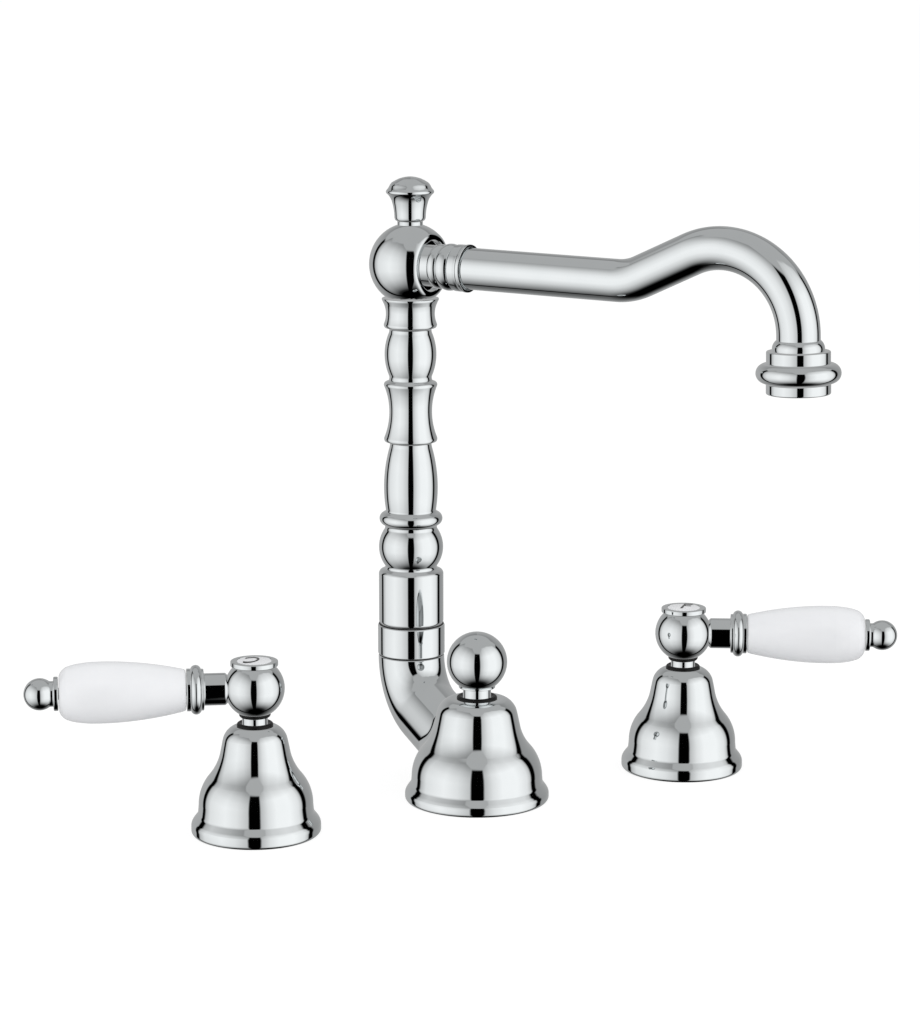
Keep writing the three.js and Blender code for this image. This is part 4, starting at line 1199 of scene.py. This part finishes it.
    def end_knob(self) -> Object:
        """Spins the disc, neck and ball at the lever's end."""
        start = self.grip_start + self.grip_length + GAP
        disc_end, floor = start + self.end_disc_thickness, start + self.end_bore_depth
        neck_end = disc_end + self.neck_length
        centre = neck_end + math.sqrt(self.end_ball_radius**2 - self.neck_radius**2)
        outline = Outline(0, floor).line(self.rod_bore, floor).line(self.rod_bore, start)
        outline.line(self.end_disc_radius, start, 0.4).line(self.end_disc_radius, disc_end, 0.5)
        outline.line(self.neck_radius, disc_end, 0.4).line(self.neck_radius, neck_end, 0.4)
        outline.ball(self.end_ball_radius, centre, centre + self.end_ball_radius, 0)
        return spun("end_ball", outline)

    def letter(self, side: Side) -> Object:
        """Models the enamel letter on the disc.

        Args:
            side: The valve that the letter is for.

        Returns:
            The letter about the valve's axis.
        """
        bpy.ops.object.select_all(action="DESELECT")
        bpy.ops.object.text_add(location=(0, 0, 0))
        text = bpy.context.object
        text.data.body = side.letter
        text.data.size = self.letter_size * MM
        text.data.shear = self.letter_slant
        text.data.align_x, text.data.align_y = "CENTER", "CENTER"
        text.data.extrude = self.letter_relief * MM
        bpy.ops.object.convert(target="MESH")
        text.name = f"{side.label}_letter"
        narrowed = Matrix.Diagonal((self.letter_width, 1, 1, 1))
        return place(text, shift(0, 0, self.rim_top + self.disc_dome - self.slack) @ narrowed)

    def lever_place(self, side: Side) -> Matrix:
        """The place of a side's lever at rest."""
        return shift(side.along, 0, self.height) @ turn_about(side.heading, "Z")

    def build(self, wardrobe: Wardrobe) -> None:
        """Models each piece once and dresses a copy of it for both levers."""
        upright = Matrix.Identity(4)
        models = (
            (self.hub(), upright, "chrome", "hub"),
            (self.black_ring(), upright, "rubber"),
            (self.rim(), upright, "chrome", "index_rim"),
            (self.disc(), upright, "porcelain", "index_disc"),
            (self.arm(), ALONG_X, "chrome", "lever_arm"),
            (self.grip(), ALONG_X, "porcelain", "grip"),
            (self.end_knob(), ALONG_X, "chrome", "end_knob"),
        )
        for model, laid, slot, *nodes in models:
            smooth(place(model, laid))
            for side in Side:
                twin = copied(model, f"{side.label}_{model.name}")
                place(twin, self.lever_place(side))
                replaced = (f"{side.label}_{node}" for node in nodes)
                wardrobe.dress(twin, f"{side.label}_lever", slot, *replaced)
            bpy.data.objects.remove(model)
        for side in Side:
            piece = place(self.letter(side), self.lever_place(side))
            wardrobe.dress(piece, f"{side.label}_lever", "porcelain", finish=Finishes.ENAMEL)


# Studio


@dataclass
class Studio:
    """The pale floor, the soft light, the camera and the tent that the chrome mirrors."""

    camera_place: tuple[float, float, float] = (-0.5917, -1.0685, 0.3536)
    yaw: float = 28.65
    pitch: float = 10.883
    lens: float = 107.35
    sensor_width: float = 36.0
    farthest: float = 100.0
    camera_azimuth: float = -118.6
    floor_size: float = 120.0
    floor_glow: float = 0.82
    # The strengths of the tent in the chrome, on matt surfaces and to the camera
    white: float = 1.32
    even: float = 0.8
    clear: float = 1.0
    # The levels of the black strip beside the camera and of the roof
    black: float = 0.0004
    roof: float = 0.4
    roof_softness: float = 2.5
    strip_place: float = 0.5
    strip_width: float = 23.5
    strip_softness: float = 2.0
    strip_top: float = 42.0
    strip_top_softness: float = 3.0
    panel_softness: float = 13.0
    # The walls' level by the angle round from the camera
    tent_around: Rows = (
        (-180, 0.36), (-131, 0.4), (-128, 0), (-119, 0), (-115, 0.48), (-100, 0.78), (-85, 0.84),
        (-60, 0.92), (-35, 0.8), (-12, 0.56), (14, 0.52), (28, 0.78), (45, 0.94), (75, 0.96),
        (98, 0.8), (107, 0.55), (111, 0), (121, 0), (125, 0.28), (180, 0.36),
    )
    # The height where the roof begins, as a share of the way up to the zenith
    roof_edge: Rows = (
        (-180, 0.5), (-132, 0.4), (-118, 0.4), (-112, 0.6), (-90, 0.56), (-70, 0.65), (-35, 0.68),
        (-13, 0.5), (13, 0.5), (35, 0.7), (75, 0.66), (104, 0.5), (110, 0.37), (124, 0.37),
        (132, 0.5), (180, 0.5),
    )
    # The walls' level by the height, left and right of the strip
    left_panel: Rows = (
        (-76, 0), (-70, 0.03), (-60, 0.24), (-50, 0.46), (-35, 0.75), (-15, 0.98), (5, 1),
        (20, 0.92), (35, 0.73), (50, 0.45), (58, 0.34),
    )
    right_panel: Rows = (
        (-74, 0), (-68, 0.02), (-60, 0.2), (-50, 0.52), (-38, 0.84), (-20, 1), (28, 1), (42, 0.82),
        (56, 0.66), (66, 0.5),
    )
    # Each lamp's name, place, size in metres and power in watts
    lamps: tuple[tuple[str, tuple[float, float, float], float, float], ...] = (
        ("key_lamp", (-1.2, -1.2, 1.6), 1.4, 9),
        ("fill_lamp", (1.4, -0.9, 1.2), 1.4, 5),
    )
    lamp_aim: tuple[float, float, float] = (0, 0, 0.1)

    def camera(self) -> None:
        """Adds the camera at the photograph's viewing angle."""
        data = bpy.data.cameras.new("camera")
        data.lens, data.sensor_width, data.clip_end = self.lens, self.sensor_width, self.farthest
        camera = bpy.data.objects.new("camera", data)
        bpy.context.scene.collection.objects.link(camera)
        camera.location = self.camera_place
        camera.rotation_euler = (math.radians(90 - self.pitch), 0, math.radians(-self.yaw))
        bpy.context.scene.camera = camera

    def floor(self) -> None:
        """Adds the floor, which shows white but keeps the soft shadow of the mixer."""
        bpy.ops.object.select_all(action="DESELECT")
        bpy.ops.mesh.primitive_plane_add(size=self.floor_size, location=(0, 0, 0))
        floor = bpy.context.object
        floor.name = "floor"
        floor.visible_glossy = False
        material = bpy.data.materials.new("white_table")
        add = partial(add_node, cleared(material))
        rays = add("LightPath").outputs
        lit = add("BsdfDiffuse", {"Color": linear("#F4F4F4")}).outputs[0]
        seen = add("BsdfDiffuse", {"Color": linear("#888888")}).outputs[0]
        glow = add("Emission", {"Strength": self.floor_glow}).outputs[0]
        shown = add("AddShader", {0: seen, 1: glow}).outputs[0]
        mixed = add("MixShader", {0: rays["Is Camera Ray"], 1: lit, 2: shown})
        add("OutputMaterial", {"Surface": mixed.outputs[0]})
        floor.data.materials.append(material)

    def world(self) -> None:
        """Builds the world: white to the camera, even to matt surfaces, a tent to the chrome."""
        world = bpy.data.worlds.new("tent")
        bpy.context.scene.world = world
        add = partial(add_node, cleared(world))

        def reckoned(kind: str, one: Value, other: Value = 0) -> NodeSocket:
            """The result of a sum on one or two values."""
            return add("Math", {0: one, 1: other}, operation=kind).outputs[0]

        def levels(value: NodeSocket, stops: Rows) -> NodeSocket:
            """Levels that run straight between stops of an angle and a level."""
            turns = {"Value": value, "From Min": -math.pi, "From Max": math.pi}
            ramp = add("ValToRGB", {0: add("MapRange", turns).outputs[0]})
            elements = ramp.color_ramp.elements
            while len(elements) < len(stops):
                elements.new(0.5)
            for element, (angle, level) in zip(elements, stops):
                element.position = angle / 360 + 0.5
                element.color = (level, level, level, 1)
            return ramp.outputs[0]

        def step(value: NodeSocket, edge: float, softness: float) -> NodeSocket:
            """A soft step from 0 to 1 where an angle passes an edge."""
            low, high = math.radians(edge - softness), math.radians(edge + softness)
            ends = {"Value": value, "From Min": low, "From Max": high}
            return add("MapRange", ends, interpolation_type="SMOOTHSTEP").outputs[0]

        def layer(under: NodeSocket, share: NodeSocket, over: Value) -> NodeSocket:
            """Lays a level over what is under it, by a share."""
            return add("Mix", {0: share, 2: under, 3: over}, data_type="FLOAT").outputs[0]

        way = {"Vector": add("TexCoord").outputs["Generated"]}
        way["Angle"] = math.radians(-self.camera_azimuth)
        turned = add("VectorRotate", way, rotation_type="Z_AXIS").outputs[0]
        parts = add("SeparateXYZ", {0: turned}).outputs
        around = reckoned("ARCTAN2", parts["Y"], parts["X"])
        height = reckoned("ARCSINE", parts["Z"])

        right = step(around, self.strip_place, self.panel_softness)
        panels = layer(levels(height, self.left_panel), right, levels(height, self.right_panel))
        walls = reckoned("MULTIPLY", levels(around, self.tent_around), panels)
        edge = reckoned("MULTIPLY", levels(around, self.roof_edge), math.pi / 2)
        above = step(reckoned("SUBTRACT", height, edge), 0, self.roof_softness)
        tent = layer(walls, above, self.roof)
        off = reckoned("ABSOLUTE", reckoned("SUBTRACT", around, math.radians(self.strip_place)))
        beside = step(off, self.strip_width / 2, self.strip_softness)
        over = step(height, self.strip_top, self.strip_top_softness)
        strip = reckoned("MULTIPLY", reckoned("SUBTRACT", 1, beside), reckoned("SUBTRACT", 1, over))
        tent = layer(tent, strip, self.black)

        def sky(colour: NodeSocket | tuple[float, ...], strength: float) -> NodeSocket:
            """A background of one colour or level."""
            return add("Background", {"Color": colour, "Strength": strength}).outputs[0]

        rays = add("LightPath").outputs
        plain = linear("#FFFFFF")
        mirrored = reckoned("MAXIMUM", rays["Is Glossy Ray"], rays["Is Transmission Ray"])
        skies = {1: sky(plain, self.even), 2: sky(tent, self.white)}
        light = add("MixShader", {0: mirrored, **skies}).outputs[0]
        seen = {0: rays["Is Camera Ray"], 1: light, 2: sky(plain, self.clear)}
        add("OutputWorld", {"Surface": add("MixShader", seen).outputs[0]})

    def lamp(self, name: str, where: tuple[float, float, float], size: float, power: float) -> None:
        """Adds a soft lamp that looks at the mixer and isn't mirrored.

        Args:
            name: The lamp's name.
            where: Its place, in metres.
            size: Its width, in metres.
            power: Its power, in watts.
        """
        data = bpy.data.lights.new(name, "AREA")
        data.shape, data.size, data.energy = "SQUARE", size, power
        lamp = bpy.data.objects.new(name, data)
        bpy.context.scene.collection.objects.link(lamp)
        lamp.location = where
        aim = Vector(self.lamp_aim) - Vector(where)
        lamp.rotation_euler = aim.to_track_quat("-Z", "Y").to_euler()
        lamp.visible_glossy = False

    def build(self) -> None:
        """Sets up the whole studio."""
        bpy.context.scene.view_settings.view_transform = "Standard"
        self.camera()
        self.floor()
        self.world()
        for row in self.lamps:
            self.lamp(*row)


def main() -> None:
    """Builds the mixer and the studio."""
    logging.basicConfig(level=logging.INFO, format="%(message)s")
    wardrobe = Wardrobe()
    CentreBody().build(wardrobe)
    Swivel().build(wardrobe)
    Pillar().build(wardrobe)
    head = SpoutHead()
    head.build(wardrobe)
    outlet = SwanNeck().build(wardrobe, head.arm_place())
    Outlet().build(wardrobe, outlet)
    LiftKnob().build(wardrobe)
    SideValve().build(wardrobe)
    Lever().build(wardrobe)
    wardrobe.dress_frame()
    Studio().build()


if __name__ == "__main__":
    main()
